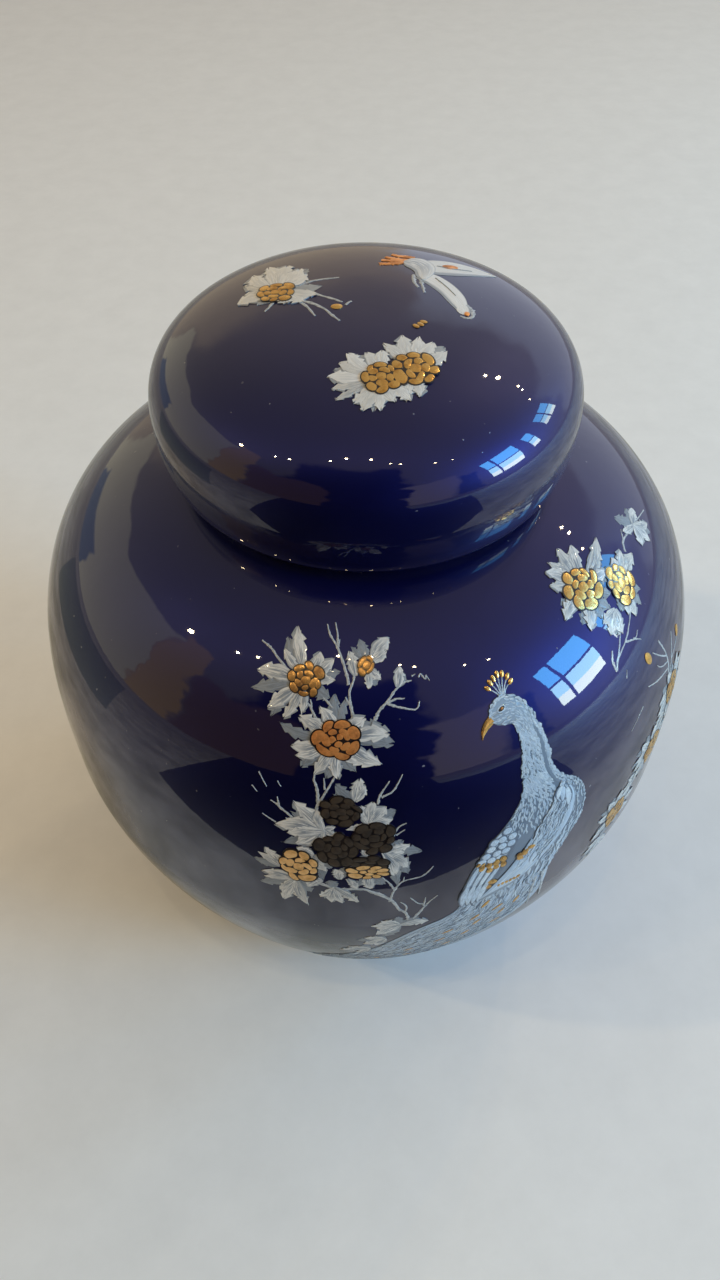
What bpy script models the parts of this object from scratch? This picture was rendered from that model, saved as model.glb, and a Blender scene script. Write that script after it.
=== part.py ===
"""A lidded ginger jar: a thrown ovoid body on a foot ring, and a domed lid that caps its short neck.

Metres, +Z up. The origin is the centre of the foot ring's standing face, and +Z is the jar's turning axis.
"""

import math

import bpy

# The body, with its short neck
BODY_RADIUS = 0.070
BELLY_HEIGHT = 0.080
BELLY_SOFTENING = 0.003
SHOULDER_RISE = 0.0625
SHOULDER_POWER = 3.2
TAPER_DEPTH = 0.109
TAPER_POWER = 1.5
WALL = 0.0045
NECK_RADIUS = 0.0310
NECK_WALL = 0.0040
NECK_TOP = 0.1608
NECK_FILLET = 0.0025
FLOOR_HEIGHT = 0.0092
FLOOR_CORNER = 0.0090

# The foot ring and the recessed base inside it
FOOT_RADIUS = 0.0415
FOOT_WIDTH = 0.0042
FOOT_HEIGHT = 0.0050
FOOT_CHAMFER = 0.0008
GROOVE_DEPTH = 0.0008
GROOVE_HEIGHT = 0.0016
BASE_RECESS = 0.0032

# The lid: a flattened dome over a skirt that tucks in towards its rim
LID_RADIUS = 0.0393
LID_WIDEST_HEIGHT = 0.1530
LID_DOME_RISE = 0.0169
LID_DOME_POWER = 2.6
LID_RIM_HEIGHT = 0.1420
LID_TUCK = 0.0036
LID_WALL = 0.0036
LID_RIM_ROUNDING = 0.0012

# How finely the sections and their turning are divided
CURVE_STEPS = 11
ARC_STEP = 18.0
SPIN_STEPS = 48
MERGE_DISTANCE = 0.00002

JAR_NAME = "ginger_jar"
COBALT = (0.010, 0.012, 0.105, 1.0)
GLAZE_ROUGHNESS = 0.08


def superellipse(radius, height, power, across):
    """The height of a superellipse with these half-axes at a distance `across` from its axis."""
    share = max(0.0, 1.0 - (across / radius) ** power)
    return height * share ** (1.0 / power)


def arc(centre_x, centre_z, radius_x, radius_z, start, end):
    """Points on an elliptical arc from one angle in degrees to the other, at most ARC_STEP apart."""
    count = math.ceil(abs(end - start) / ARC_STEP)
    points = []
    for step in range(count + 1):
        angle = math.radians(start + (end - start) * step / count)
        points.append((centre_x + radius_x * math.cos(angle), centre_z + radius_z * math.sin(angle)))
    return points


def quarter(radius, rise, power, base_height, first_across):
    """A superellipse's quarter, from `first_across` out to its widest ring at `base_height`."""
    start = math.asin(first_across / radius)
    points = []
    for step in range(CURVE_STEPS + 1):
        across = radius * math.sin(start + (math.pi / 2 - start) * step / CURVE_STEPS)
        points.append((across, base_height + superellipse(radius, rise, power, across)))
    return points


def taper_radius(radius, depth, height):
    """The wall's radius below the belly, with the start of the taper softened into the belly."""
    below = math.hypot(BELLY_HEIGHT - height, BELLY_SOFTENING) - BELLY_SOFTENING
    return radius * (1.0 - (below / depth) ** TAPER_POWER) ** (1.0 / TAPER_POWER)


def taper(radius, depth, lowest):
    """The lower wall, from just under the belly's widest ring down to the height `lowest`."""
    points = []
    for step in range(1, CURVE_STEPS + 1):
        height = BELLY_HEIGHT + (lowest - BELLY_HEIGHT) * step / CURVE_STEPS
        points.append((taper_radius(radius, depth, height), height))
    return points


def jar_inside():
    """The inside, from the floor's centre up the wall and under the shoulder to the foot of the bore."""
    radius = BODY_RADIUS - WALL
    depth = TAPER_DEPTH - WALL
    corner_height = FLOOR_HEIGHT + FLOOR_CORNER
    corner_centre = taper_radius(radius, depth, corner_height) - FLOOR_CORNER
    wall_lean = -15
    corner = arc(corner_centre, corner_height, FLOOR_CORNER, FLOOR_CORNER, -90, wall_lean)
    wall = taper(radius, depth, corner_height)
    under_shoulder = quarter(
        radius, SHOULDER_RISE - WALL, SHOULDER_POWER, BELLY_HEIGHT, NECK_RADIUS - NECK_WALL
    )
    return [(0.0, FLOOR_HEIGHT)] + corner + wall[::-1] + under_shoulder[::-1]


def neck():
    """The neck's rounded lip, from the bore over to its outside, and the fillet onto the shoulder."""
    half_wall = NECK_WALL / 2
    lip = arc(NECK_RADIUS - half_wall, NECK_TOP - half_wall, half_wall, half_wall, 180, 0)
    fillet_centre = NECK_RADIUS + NECK_FILLET
    fillet_foot = BELLY_HEIGHT + superellipse(BODY_RADIUS, SHOULDER_RISE, SHOULDER_POWER, fillet_centre)
    shoulder_slope = 262
    fillet = arc(fillet_centre, fillet_foot + NECK_FILLET, NECK_FILLET, NECK_FILLET, 180, shoulder_slope)
    return lip + fillet


def foot():
    """A fine groove under the wall, the foot ring with its standing face, and the recessed base."""
    inner = FOOT_RADIUS - FOOT_WIDTH
    return [
        (FOOT_RADIUS - GROOVE_DEPTH, FOOT_HEIGHT),
        (FOOT_RADIUS, FOOT_HEIGHT - FOOT_CHAMFER),
        (FOOT_RADIUS, FOOT_CHAMFER),
        (FOOT_RADIUS - FOOT_CHAMFER, 0.0),
        (inner + FOOT_CHAMFER, 0.0),
        (inner, FOOT_CHAMFER),
        (inner - FOOT_CHAMFER, BASE_RECESS),
        (0.0, BASE_RECESS + FOOT_CHAMFER),
    ]


def jar_section():
    """The jar's whole section: up the inside, over the lip, down the outside and under to the base."""
    fillet_end = NECK_RADIUS + NECK_FILLET
    shoulder = quarter(BODY_RADIUS, SHOULDER_RISE, SHOULDER_POWER, BELLY_HEIGHT, fillet_end)
    wall = taper(BODY_RADIUS, TAPER_DEPTH, FOOT_HEIGHT + GROOVE_HEIGHT)
    return jar_inside() + neck() + shoulder[1:] + wall + foot()


def lid_section():
    """The lid's section: from the crown down its outside, round the rim and up to the ceiling."""
    drop = LID_WIDEST_HEIGHT - LID_RIM_HEIGHT
    dome = quarter(LID_RADIUS, LID_DOME_RISE, LID_DOME_POWER, LID_WIDEST_HEIGHT, 0.0)
    skirt = arc(LID_RADIUS - LID_TUCK, LID_WIDEST_HEIGHT, LID_TUCK, drop, 0, -90)

    bore_radius = LID_RADIUS - LID_TUCK - LID_WALL
    rounding_centre = (bore_radius + LID_RIM_ROUNDING, LID_RIM_HEIGHT + LID_RIM_ROUNDING)
    rim = arc(*rounding_centre, LID_RIM_ROUNDING, LID_RIM_ROUNDING, -90, -180)
    bore_start = -75
    bore = arc(bore_radius, LID_WIDEST_HEIGHT, LID_TUCK, drop - LID_RIM_ROUNDING, bore_start, 0)

    inner_rise = LID_DOME_RISE - LID_WALL
    ceiling = quarter(LID_RADIUS - LID_WALL, inner_rise, LID_DOME_POWER, LID_WIDEST_HEIGHT, 0.0)
    return dome + skirt[1:] + rim + bore + ceiling[-2::-1]


def glaze(name):
    """A glossy cobalt-blue glaze; each piece has one of its own."""
    material = bpy.data.materials.new(name)
    material.use_nodes = True
    shader = material.node_tree.nodes["Principled BSDF"]
    shader.inputs["Base Color"].default_value = COBALT
    shader.inputs["Roughness"].default_value = GLAZE_ROUGHNESS
    shader.inputs["Metallic"].default_value = 0.0
    return material


def turned(name, section, collection):
    """A solid of revolution: the section spun round +Z with a Screw modifier."""
    mesh = bpy.data.meshes.new(name)
    edges = [(point, point + 1) for point in range(len(section) - 1)]
    mesh.from_pydata([(across, 0.0, height) for across, height in section], edges, [])
    mesh.materials.append(glaze(name + "_glaze"))
    piece = bpy.data.objects.new(name, mesh)
    collection.objects.link(piece)

    spin = piece.modifiers.new("spin", "SCREW")
    spin.axis = "Z"
    spin.angle = 2 * math.pi
    spin.steps = SPIN_STEPS
    spin.render_steps = SPIN_STEPS
    spin.use_merge_vertices = True
    spin.merge_threshold = MERGE_DISTANCE
    spin.use_smooth_shade = True
    return piece


def main():
    for left_over in list(bpy.data.objects):
        bpy.data.objects.remove(left_over, do_unlink=True)
    collection = bpy.data.collections.new(JAR_NAME)
    bpy.context.scene.collection.children.link(collection)
    turned("jar_body", jar_section(), collection)
    turned("lid", lid_section(), collection)


main()
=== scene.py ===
"""Looks of a lidded ginger jar: cobalt glaze, raised white enamel sprays, a peacock, and gilding.

Lengths are in millimetres until a mesh is made, and angles in degrees. The jar's front faces -Y.
A place on the body is (azimuth, arc): degrees to the right of the front, and millimetres along the
outside from the belly's widest ring, up towards the neck. A place on the lid is (across, back):
millimetres from the crown to the right and away from the front, measured along the glaze.
"""

import math

import bpy
import numpy as np
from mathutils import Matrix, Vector

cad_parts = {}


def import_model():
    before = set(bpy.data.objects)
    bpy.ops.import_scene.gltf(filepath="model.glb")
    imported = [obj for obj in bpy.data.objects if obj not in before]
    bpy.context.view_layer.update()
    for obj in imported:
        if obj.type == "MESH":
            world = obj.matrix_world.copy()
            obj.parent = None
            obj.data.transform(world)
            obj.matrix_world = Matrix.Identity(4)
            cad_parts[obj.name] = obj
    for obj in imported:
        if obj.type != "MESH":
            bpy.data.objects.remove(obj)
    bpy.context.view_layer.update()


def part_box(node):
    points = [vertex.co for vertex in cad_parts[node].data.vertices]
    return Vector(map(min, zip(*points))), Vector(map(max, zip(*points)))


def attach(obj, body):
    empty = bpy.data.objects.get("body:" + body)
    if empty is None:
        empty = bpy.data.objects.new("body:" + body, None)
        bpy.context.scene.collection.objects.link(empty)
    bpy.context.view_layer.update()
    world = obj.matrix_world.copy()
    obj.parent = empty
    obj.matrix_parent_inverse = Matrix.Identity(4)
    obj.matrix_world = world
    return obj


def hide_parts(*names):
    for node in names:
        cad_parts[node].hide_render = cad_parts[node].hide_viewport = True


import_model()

MM = 0.001
TURN_STEPS = 256

# Sizes that the frame gives
jar_low, jar_high = (np.array(corner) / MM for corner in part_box("jar_body"))
lid_low, lid_high = (np.array(corner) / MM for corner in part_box("lid"))

# The body's outside, the same curves as the frame's
BODY_RADIUS = jar_high[0]
BELLY_HEIGHT = 80.0
BELLY_SOFTENING = 3.0
SHOULDER_RISE = 62.5
SHOULDER_POWER = 3.2
TAPER_DEPTH = 109.0
TAPER_POWER = 1.5
WALL = 4.5
NECK_RADIUS = 31.0
NECK_WALL = 4.0
NECK_TOP = jar_high[2]
NECK_FILLET = 2.5
FLOOR_HEIGHT = 9.2
FLOOR_CORNER = 9.0
FOOT_RADIUS = 41.5
FOOT_WIDTH = 4.2
FOOT_HEIGHT = 5.0
FOOT_ROUNDING = 0.8
GROOVE_DEPTH = 0.8
GROOVE_HEIGHT = 1.6
BASE_RECESS = 3.2

# The lid
LID_RADIUS = lid_high[0]
LID_WIDEST = 153.0
LID_RISE = lid_high[2] - LID_WIDEST
LID_POWER = 2.6
LID_RIM = lid_low[2]
LID_TUCK = 3.6
LID_WALL = 3.6
LID_RIM_ROUNDING = 1.2


# ---------------------------------------------------------------- section curves

def superellipse(radius, height, power, across):
    """height times (1 - (across / radius) to the power) to the 1 / power."""
    share = np.clip(1.0 - (across / radius) ** power, 0.0, 1.0)
    return height * share ** (1.0 / power)


def arc(centre_x, centre_z, radius_x, radius_z, start, end, count):
    """Points on an elliptical arc: centre plus the radii times the cosine and sine of the angle."""
    angle = np.radians(np.linspace(start, end, count))
    return np.column_stack((centre_x + radius_x * np.cos(angle), centre_z + radius_z * np.sin(angle)))


def quarter(radius, rise, power, base, first_across, count):
    """A superellipse's quarter above `base`, from `first_across` out to its widest ring."""
    angle = np.linspace(math.asin(first_across / radius), math.pi / 2, count)
    across = radius * np.sin(angle)
    return np.column_stack((across, base + superellipse(radius, rise, power, across)))


def taper(radius, depth, lowest, count):
    """The wall under the belly: radius times (1 - (softened drop / depth) ** power) ** (1 / power)."""
    height = np.linspace(BELLY_HEIGHT, lowest, count)
    drop = np.hypot(BELLY_HEIGHT - height, BELLY_SOFTENING) - BELLY_SOFTENING
    across = radius * (1.0 - (drop / depth) ** TAPER_POWER) ** (1.0 / TAPER_POWER)
    return np.column_stack((across, height))


def jar_inside():
    """Floor, rounded corner, wall and the underside of the shoulder, up to the bore."""
    radius = BODY_RADIUS - WALL
    corner_height = FLOOR_HEIGHT + FLOOR_CORNER
    wall = taper(radius, TAPER_DEPTH - WALL, corner_height, 36)[::-1]
    corner = arc(wall[0, 0] - FLOOR_CORNER, corner_height, FLOOR_CORNER, FLOOR_CORNER, -90, -12, 14)
    floor = [(0.0, FLOOR_HEIGHT), (12.0, FLOOR_HEIGHT), (corner[0, 0] - 2.0, FLOOR_HEIGHT)]
    bore, rise = NECK_RADIUS - NECK_WALL, SHOULDER_RISE - WALL
    shoulder = quarter(radius, rise, SHOULDER_POWER, BELLY_HEIGHT, bore, 44)
    return np.vstack((floor, corner, wall, shoulder[::-1][1:]))


def neck():
    """The lip, rounded from bore to outside, and the fillet that runs out onto the shoulder."""
    half = NECK_WALL / 2
    lip = arc(NECK_RADIUS - half, NECK_TOP - half, half, half, 180, 0, 17)
    across = NECK_RADIUS + NECK_FILLET
    foot = BELLY_HEIGHT + superellipse(BODY_RADIUS, SHOULDER_RISE, SHOULDER_POWER, across)
    return lip, arc(across, foot + NECK_FILLET, NECK_FILLET, NECK_FILLET, 180, 264, 10)


def foot():
    """The groove, the rounded foot ring, its standing face, and the recessed base."""
    inner = FOOT_RADIUS - FOOT_WIDTH
    edge = FOOT_ROUNDING
    outer_top = arc(FOOT_RADIUS - edge, FOOT_HEIGHT - edge, edge, edge, 80, 0, 5)
    outer_low = arc(FOOT_RADIUS - edge, edge, edge, edge, 0, -90, 6)
    inner_low = arc(inner + edge, edge, edge, edge, -90, -180, 6)
    recess = arc(inner - edge, BASE_RECESS - edge, edge, edge, 0, 90, 5)
    groove = [(FOOT_RADIUS - GROOVE_DEPTH, FOOT_HEIGHT + 0.1)]
    base = [(20.0, BASE_RECESS + 0.5), (0.0, BASE_RECESS + 0.8)]
    return groove, np.vstack((outer_top, outer_low, inner_low, recess)), base


def body_curve():
    """The glazed outside alone, from just above the foot up to the neck's fillet."""
    fillet = NECK_RADIUS + NECK_FILLET
    shoulder = quarter(BODY_RADIUS, SHOULDER_RISE, SHOULDER_POWER, BELLY_HEIGHT, fillet, 120)
    wall = taper(BODY_RADIUS, TAPER_DEPTH, FOOT_HEIGHT + GROOVE_HEIGHT, 96)
    return np.vstack((shoulder, wall[1:]))[::-1]


def lid_curve():
    """The lid's outside alone, from the crown down the dome and the tucked skirt to the rim."""
    dome = quarter(LID_RADIUS, LID_RISE, LID_POWER, LID_WIDEST, 0.0, 110)
    skirt = arc(LID_RADIUS - LID_TUCK, LID_WIDEST, LID_TUCK, LID_WIDEST - LID_RIM, 0, -90, 40)
    return np.vstack((dome, skirt[1:]))


def lid_inside():
    """Round the rim, up the bore and under the ceiling to its centre."""
    bore = LID_RADIUS - LID_TUCK - LID_WALL
    edge = LID_RIM_ROUNDING
    rim = arc(bore + edge, LID_RIM + edge, edge, edge, -90, -180, 8)
    wall = arc(bore, LID_WIDEST, LID_TUCK, LID_WIDEST - LID_RIM - edge, -80, 0, 16)
    ceiling = quarter(LID_RADIUS - LID_WALL, LID_RISE - LID_WALL, LID_POWER, LID_WIDEST, 0.0, 60)
    return rim, np.vstack((wall, ceiling[::-1][1:]))


# ---------------------------------------------------------------- meshes

def new_piece(name, points, faces, materials, face_material=None):
    """A mesh object at the origin, smooth shaded, from millimetre points and a list of face arrays."""
    mesh = bpy.data.meshes.new(name)
    mesh.from_pydata((points * MM).tolist(), [], [face for group in faces for face in group.tolist()])
    for material in materials:
        mesh.materials.append(material)
    if face_material is not None:
        mesh.polygons.foreach_set("material_index", face_material.astype(np.int32))
    mesh.shade_smooth()
    mesh.update()
    piece = bpy.data.objects.new(name, mesh)
    bpy.context.scene.collection.objects.link(piece)
    return piece


def turned(name, bands):
    """A closed solid of revolution.

    A point is (across sin azimuth, -across cos azimuth, height). `bands` is a list of (section
    points, material); together they run outside top to bottom, or inside bottom to top, and the
    first and last points lie on the axis, where they close as poles.
    """
    section = np.vstack([points for points, _ in bands])
    band_of = np.concatenate([np.full(len(points), index) for index, (points, _) in enumerate(bands)])
    rings = section[1:-1]
    azimuth = np.arange(TURN_STEPS) * 2 * math.pi / TURN_STEPS
    x = rings[:, :1] * np.sin(azimuth)
    y = -rings[:, :1] * np.cos(azimuth)
    z = np.repeat(rings[:, 1:], TURN_STEPS, axis=1)
    grid = np.stack((x, y, z), axis=-1).reshape(-1, 3)
    poles = np.array([(0.0, 0.0, section[0, 1]), (0.0, 0.0, section[-1, 1])])
    points = np.vstack((grid, poles))

    index = np.arange(len(grid)).reshape(len(rings), TURN_STEPS)
    beside = np.roll(index, -1, axis=1)
    quads = np.stack((index[:-1], index[1:], beside[1:], beside[:-1]), axis=-1).reshape(-1, 4)
    first = np.full(TURN_STEPS, len(grid))
    start_cap = np.stack((first, index[0], beside[0]), axis=-1)
    end_cap = np.stack((first + 1, beside[-1], index[-1]), axis=-1)
    band = np.concatenate((
        np.repeat(band_of[2:-1], TURN_STEPS),
        np.full(TURN_STEPS, band_of[0]),
        np.full(TURN_STEPS, band_of[-1]),
    ))
    return new_piece(name, points, [quads, start_cap, end_cap], [material for _, material in bands], band)


# ---------------------------------------------------------------- skins that ornament is laid on

class Skin:
    """A glazed outside as a chart: section points by arc length, with their outward normals."""

    def __init__(self, curve, zero, outward):
        step = np.hypot(*np.diff(curve, axis=0).T)
        self.arc = np.concatenate(((0.0,), np.cumsum(step)))
        self.arc -= self.arc[zero]
        self.across, self.height = curve.T
        slope = np.gradient(curve, self.arc, axis=0)
        slope /= np.hypot(*slope.T)[:, None]
        self.normal_across, self.normal_up = outward * slope[:, 1], -outward * slope[:, 0]

    def at(self, azimuth, arc, lift):
        """The point `lift` above the glaze: the section's point at this arc, turned to the azimuth."""
        across = np.interp(arc, self.arc, self.across) + lift * np.interp(arc, self.arc, self.normal_across)
        height = np.interp(arc, self.arc, self.height) + lift * np.interp(arc, self.arc, self.normal_up)
        return np.stack((across * np.sin(azimuth), -across * np.cos(azimuth), height), axis=-1)


class BodySkin(Skin):
    """Places are (azimuth in degrees, arc up from the belly's widest ring)."""

    def __init__(self):
        curve = body_curve()
        super().__init__(curve, int(np.argmax(curve[:, 0])), 1.0)

    def move(self, place, east, north):
        """The place this far to the right and up, measured along the glaze."""
        arc = place[1] + north
        return place[0] + np.degrees(east / np.interp(arc, self.arc, self.across)), arc

    def span(self, first, second):
        """How far the second place is to the right of the first, and above it."""
        arc = (first[1] + second[1]) / 2
        return np.radians(second[0] - first[0]) * np.interp(arc, self.arc, self.across), second[1] - first[1]

    def point(self, place, lift):
        return self.at(np.radians(place[0]), place[1], lift)


class LidSkin(Skin):
    """Places are (across to the right, back), both measured along the glaze from the crown."""

    def __init__(self):
        super().__init__(lid_curve(), 0, -1.0)

    def move(self, place, east, north):
        """The place this far to the right and to the back."""
        return place[0] + east, place[1] + north

    def span(self, first, second):
        """How far the second place is to the right of the first, and behind it."""
        return second[0] - first[0], second[1] - first[1]

    def point(self, place, lift):
        return self.at(np.arctan2(place[0], -place[1]), np.hypot(*place), lift)


# ---------------------------------------------------------------- materials

def node(tree, kind, settings=(), **inputs):
    """A shader node with its settings, and with its inputs set, or linked where a socket is given."""
    made = tree.nodes.new("ShaderNode" + kind)
    for key, value in dict(settings).items():
        setattr(made, key, value)
    for key, value in inputs.items():
        socket = made.inputs[int(key[1:])] if key[0] == "i" and key[1:].isdigit() else made.inputs[key]
        if isinstance(value, bpy.types.NodeSocket):
            tree.links.new(value, socket)
        else:
            socket.default_value = value
    return made


def maths(tree, operation, first, second=0.0):
    return node(tree, "Math", {"operation": operation}, i0=first, i1=second).outputs[0]


def ramp(tree, factor, *stops):
    """Grey or coloured stops as (position, colour)."""
    made = node(tree, "ValToRGB", Fac=factor)
    elements = made.color_ramp.elements
    while len(elements) < len(stops):
        elements.new(0.5)
    for element, (position, colour) in zip(elements, stops):
        element.position = position
        element.color = (*colour, 1.0) if isinstance(colour, tuple) else (colour, colour, colour, 1.0)
    return made.outputs["Color"]


def mix(tree, factor, first, second):
    """A colour mix; plain colours are given as three numbers."""
    first, second = ((*c, 1.0) if isinstance(c, tuple) else c for c in (first, second))
    made = node(tree, "Mix", {"data_type": "RGBA"}, i0=factor, i6=first, i7=second)
    return made.outputs[2]


def noise(tree, vector, scale, detail, roughness=0.5, distortion=0.0):
    made = node(tree, "TexNoise", Vector=vector, Scale=scale, Detail=detail, Roughness=roughness)
    made.inputs["Distortion"].default_value = distortion
    return made.outputs["Fac"]


def finish(name, metallic=0.0, coat=0.0, coat_roughness=0.03, specular=0.5):
    """A new material with what is the same all over set on its Principled shader."""
    material = bpy.data.materials.new(name)
    material.use_nodes = True
    shader = material.node_tree.nodes["Principled BSDF"]
    shader.inputs["Metallic"].default_value = metallic
    shader.inputs["Coat Weight"].default_value = coat
    shader.inputs["Coat Roughness"].default_value = coat_roughness
    shader.inputs["Specular IOR Level"].default_value = specular
    return material, material.node_tree, shader


def dress(tree, shader, colour, roughness):
    """Feeds the shader's colour, and its roughness."""
    tree.links.new(colour, shader.inputs["Base Color"])
    tree.links.new(roughness, shader.inputs["Roughness"])


def place_on(tree):
    return node(tree, "TexCoord").outputs["Object"]


def bumped(tree, shader, height, distance):
    """Feeds a height to the shader's normal, and to its coat's."""
    bump = node(tree, "Bump", Height=height, Distance=distance, Strength=1.0)
    tree.links.new(bump.outputs["Normal"], shader.inputs["Normal"])
    tree.links.new(bump.outputs["Normal"], shader.inputs["Coat Normal"])


def cobalt_glaze():
    """Deep cobalt under a clear gloss: slow pooling of the colour, a blue scatter below the gloss, fine
    dust specks and a faint ripple."""
    material, tree, shader = finish("cobalt_glaze", coat=1.0, coat_roughness=0.02, specular=0.8)
    shader.inputs["Specular Tint"].default_value = (0.09, 0.12, 1.0, 1.0)
    where = place_on(tree)
    pooling = noise(tree, where, 22.0, 4.0, 0.6)
    cobalt = ramp(tree, pooling, (0.32, (0.0003, 0.0006, 0.012)), (0.72, (0.0008, 0.0012, 0.026)))
    dust = ramp(tree, noise(tree, where, 900.0, 1.0), (0.775, 0.0), (0.80, 1.0))
    patches = ramp(tree, noise(tree, where, 60.0, 2.0), (0.5, 0.0), (0.62, 0.7))
    specks = maths(tree, "MULTIPLY", dust, patches)
    smears = noise(tree, where, 38.0, 6.0, 0.7, 0.6)
    dress(tree, shader, mix(tree, specks, cobalt, (0.30, 0.31, 0.34)),
          ramp(tree, smears, (0.3, 0.40), (0.75, 0.52)))
    ripple = maths(tree, "MULTIPLY", noise(tree, where, 70.0, 1.0), 12.0)
    peel = maths(tree, "ADD", ripple, noise(tree, where, 600.0, 2.0))
    bumped(tree, shader, maths(tree, "ADD", peel, maths(tree, "MULTIPLY", specks, 8.0)), 0.000004)
    return material


def white_glaze():
    """The pale clear glaze inside: cool white, pooling a little darker, with a few pinholes."""
    material, tree, shader = finish("white_glaze", coat=1.0, coat_roughness=0.05, specular=0.3)
    where = place_on(tree)
    cloud = ramp(tree, noise(tree, where, 30.0, 3.0), (0.3, (0.60, 0.60, 0.57)), (0.7, (0.74, 0.73, 0.69)))
    pinholes = ramp(tree, noise(tree, where, 700.0, 1.0), (0.76, 0.0), (0.79, 1.0))
    dress(tree, shader, mix(tree, pinholes, cloud, (0.22, 0.17, 0.12)),
          ramp(tree, cloud, (0.3, 0.34), (0.8, 0.22)))
    bumped(tree, shader, noise(tree, where, 120.0, 2.0), 0.00004)
    return material


def bare_clay():
    """Unglazed porcelain: warm off-white, gritty, with grey rubbing and small iron spots."""
    material, tree, shader = finish("bare_clay", specular=0.35)
    where = place_on(tree)
    tone = ramp(tree, noise(tree, where, 90.0, 5.0), (0.3, (0.40, 0.35, 0.28)), (0.7, (0.58, 0.53, 0.46)))
    iron = ramp(tree, noise(tree, where, 1100.0, 1.0), (0.74, 0.0), (0.78, 0.8))
    dress(tree, shader, mix(tree, iron, tone, (0.16, 0.09, 0.05)), ramp(tree, tone, (0.3, 0.92), (0.7, 0.78)))
    bumped(tree, shader, noise(tree, where, 1800.0, 4.0, 0.7), 0.00006)
    return material


def paint_axes(tree):
    """A pad's own axes: side to side, base to tip, its random number, and its tone."""
    paint = node(tree, "Attribute", {"attribute_name": "paint"})
    axes = node(tree, "SeparateColor", Color=paint.outputs["Color"])
    return (*axes.outputs, paint.outputs["Alpha"])


def streaks(tree, side, along, chance, across_scale, along_scale):
    """Brush lines that run from base to tip, different on each pad."""
    shift = maths(tree, "MULTIPLY", chance, 37.0)
    brush = node(
        tree, "CombineXYZ",
        X=maths(tree, "MULTIPLY", side, across_scale),
        Y=maths(tree, "MULTIPLY", along, along_scale),
        Z=shift,
    )
    return noise(tree, brush.outputs[0], 1.0, 3.0, 0.6, 0.4)


def petal_enamel():
    """White enamel brushed over slate: lines from the base, a shaded heart, and a thin dark edge.

    A tone over nought deepens a pad to slate, and one under nought clears its brush lines.
    """
    material, tree, shader = finish("petal_enamel", coat=0.6, coat_roughness=0.06)
    side, along, chance, tone = paint_axes(tree)
    lines = ramp(tree, streaks(tree, side, along, chance, 12.0, 2.2), (0.41, 0.0), (0.54, 1.0))
    root = ramp(tree, along, (0.10, 1.0), (0.55, 0.85), (0.92, 0.20))
    middle = ramp(tree, side, (0.10, 0.25), (0.34, 1.0), (0.62, 1.0), (0.92, 0.2))
    heart = maths(tree, "MULTIPLY", maths(tree, "MULTIPLY", lines, root), middle)
    heart = maths(tree, "MULTIPLY", heart, maths(tree, "ADD", maths(tree, "MINIMUM", tone, 0.0), 1.0))
    edge = ramp(tree, side, (0.0, 0.75), (0.05, 0.0), (0.80, 0.0), (0.90, 0.75))
    shade = maths(tree, "MAXIMUM", heart, edge)
    shade = maths(tree, "MAXIMUM", shade, tone)
    white = mix(tree, chance, (0.64, 0.63, 0.595), (0.78, 0.775, 0.75))
    slate = mix(tree, lines, (0.085, 0.115, 0.155), (0.17, 0.21, 0.26))
    dress(tree, shader, mix(tree, shade, white, slate), ramp(tree, lines, (0.0, 0.34), (1.0, 0.48)))
    bumped(tree, shader, lines, 0.00002)
    return material


def twig_enamel():
    """Thin pale enamel, uneven where the brush was pressed."""
    material, tree, shader = finish("twig_enamel", coat=0.5, coat_roughness=0.08)
    side, along, chance, tone = paint_axes(tree)
    press = streaks(tree, side, along, chance, 2.0, 26.0)
    colour = ramp(tree, press, (0.35, (0.24, 0.27, 0.30)), (0.6, (0.52, 0.54, 0.55)))
    colour = mix(tree, maths(tree, "MULTIPLY", tone, 0.6), colour, (0.14, 0.17, 0.20))
    dress(tree, shader, colour, ramp(tree, press, (0.3, 0.5), (0.7, 0.34)))
    bumped(tree, shader, press, 0.00002)
    return material


def plumage_enamel():
    """Blue-grey plumage: pale barbs over a darker ground, with dark edges; tone deepens to slate."""
    material, tree, shader = finish("plumage_enamel", coat=0.5, coat_roughness=0.07)
    side, along, chance, tone = paint_axes(tree)
    barbs = ramp(tree, streaks(tree, side, along, chance, 9.0, 6.0), (0.44, 0.0), (0.60, 1.0))
    light = mix(tree, chance, (0.49, 0.63, 0.79), (0.72, 0.82, 0.90))
    dark = mix(tree, chance, (0.060, 0.095, 0.155), (0.095, 0.14, 0.21))
    edge = ramp(tree, side, (0.03, 0.85), (0.14, 0.0), (0.84, 0.0), (0.96, 0.85))
    clear = maths(tree, "ADD", maths(tree, "MINIMUM", tone, 0.0), 1.0)
    gloom = maths(tree, "MULTIPLY", maths(tree, "MULTIPLY", barbs, 0.5), clear)
    gloom = maths(tree, "MAXIMUM", gloom, edge)
    gloom = maths(tree, "MAXIMUM", gloom, tone)
    dress(tree, shader, mix(tree, gloom, light, dark), ramp(tree, barbs, (0.0, 0.34), (1.0, 0.5)))
    bumped(tree, shader, barbs, 0.00002)
    return material


def gilding(name, bright, deep, metallic, dullness=0.0):
    """Burnished gold lustre: worn thin in places, with fine hammered unevenness."""
    material, tree, shader = finish(name, metallic=metallic)
    where = place_on(tree)
    wear = noise(tree, where, 420.0, 4.0, 0.65)
    polish = ramp(tree, wear, (0.30, 0.42 + dullness), (0.60, 0.20 + dullness))
    dress(tree, shader, ramp(tree, wear, (0.34, deep), (0.56, bright)), polish)
    bumped(tree, shader, noise(tree, where, 1500.0, 2.0), 0.00003)
    return material


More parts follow.
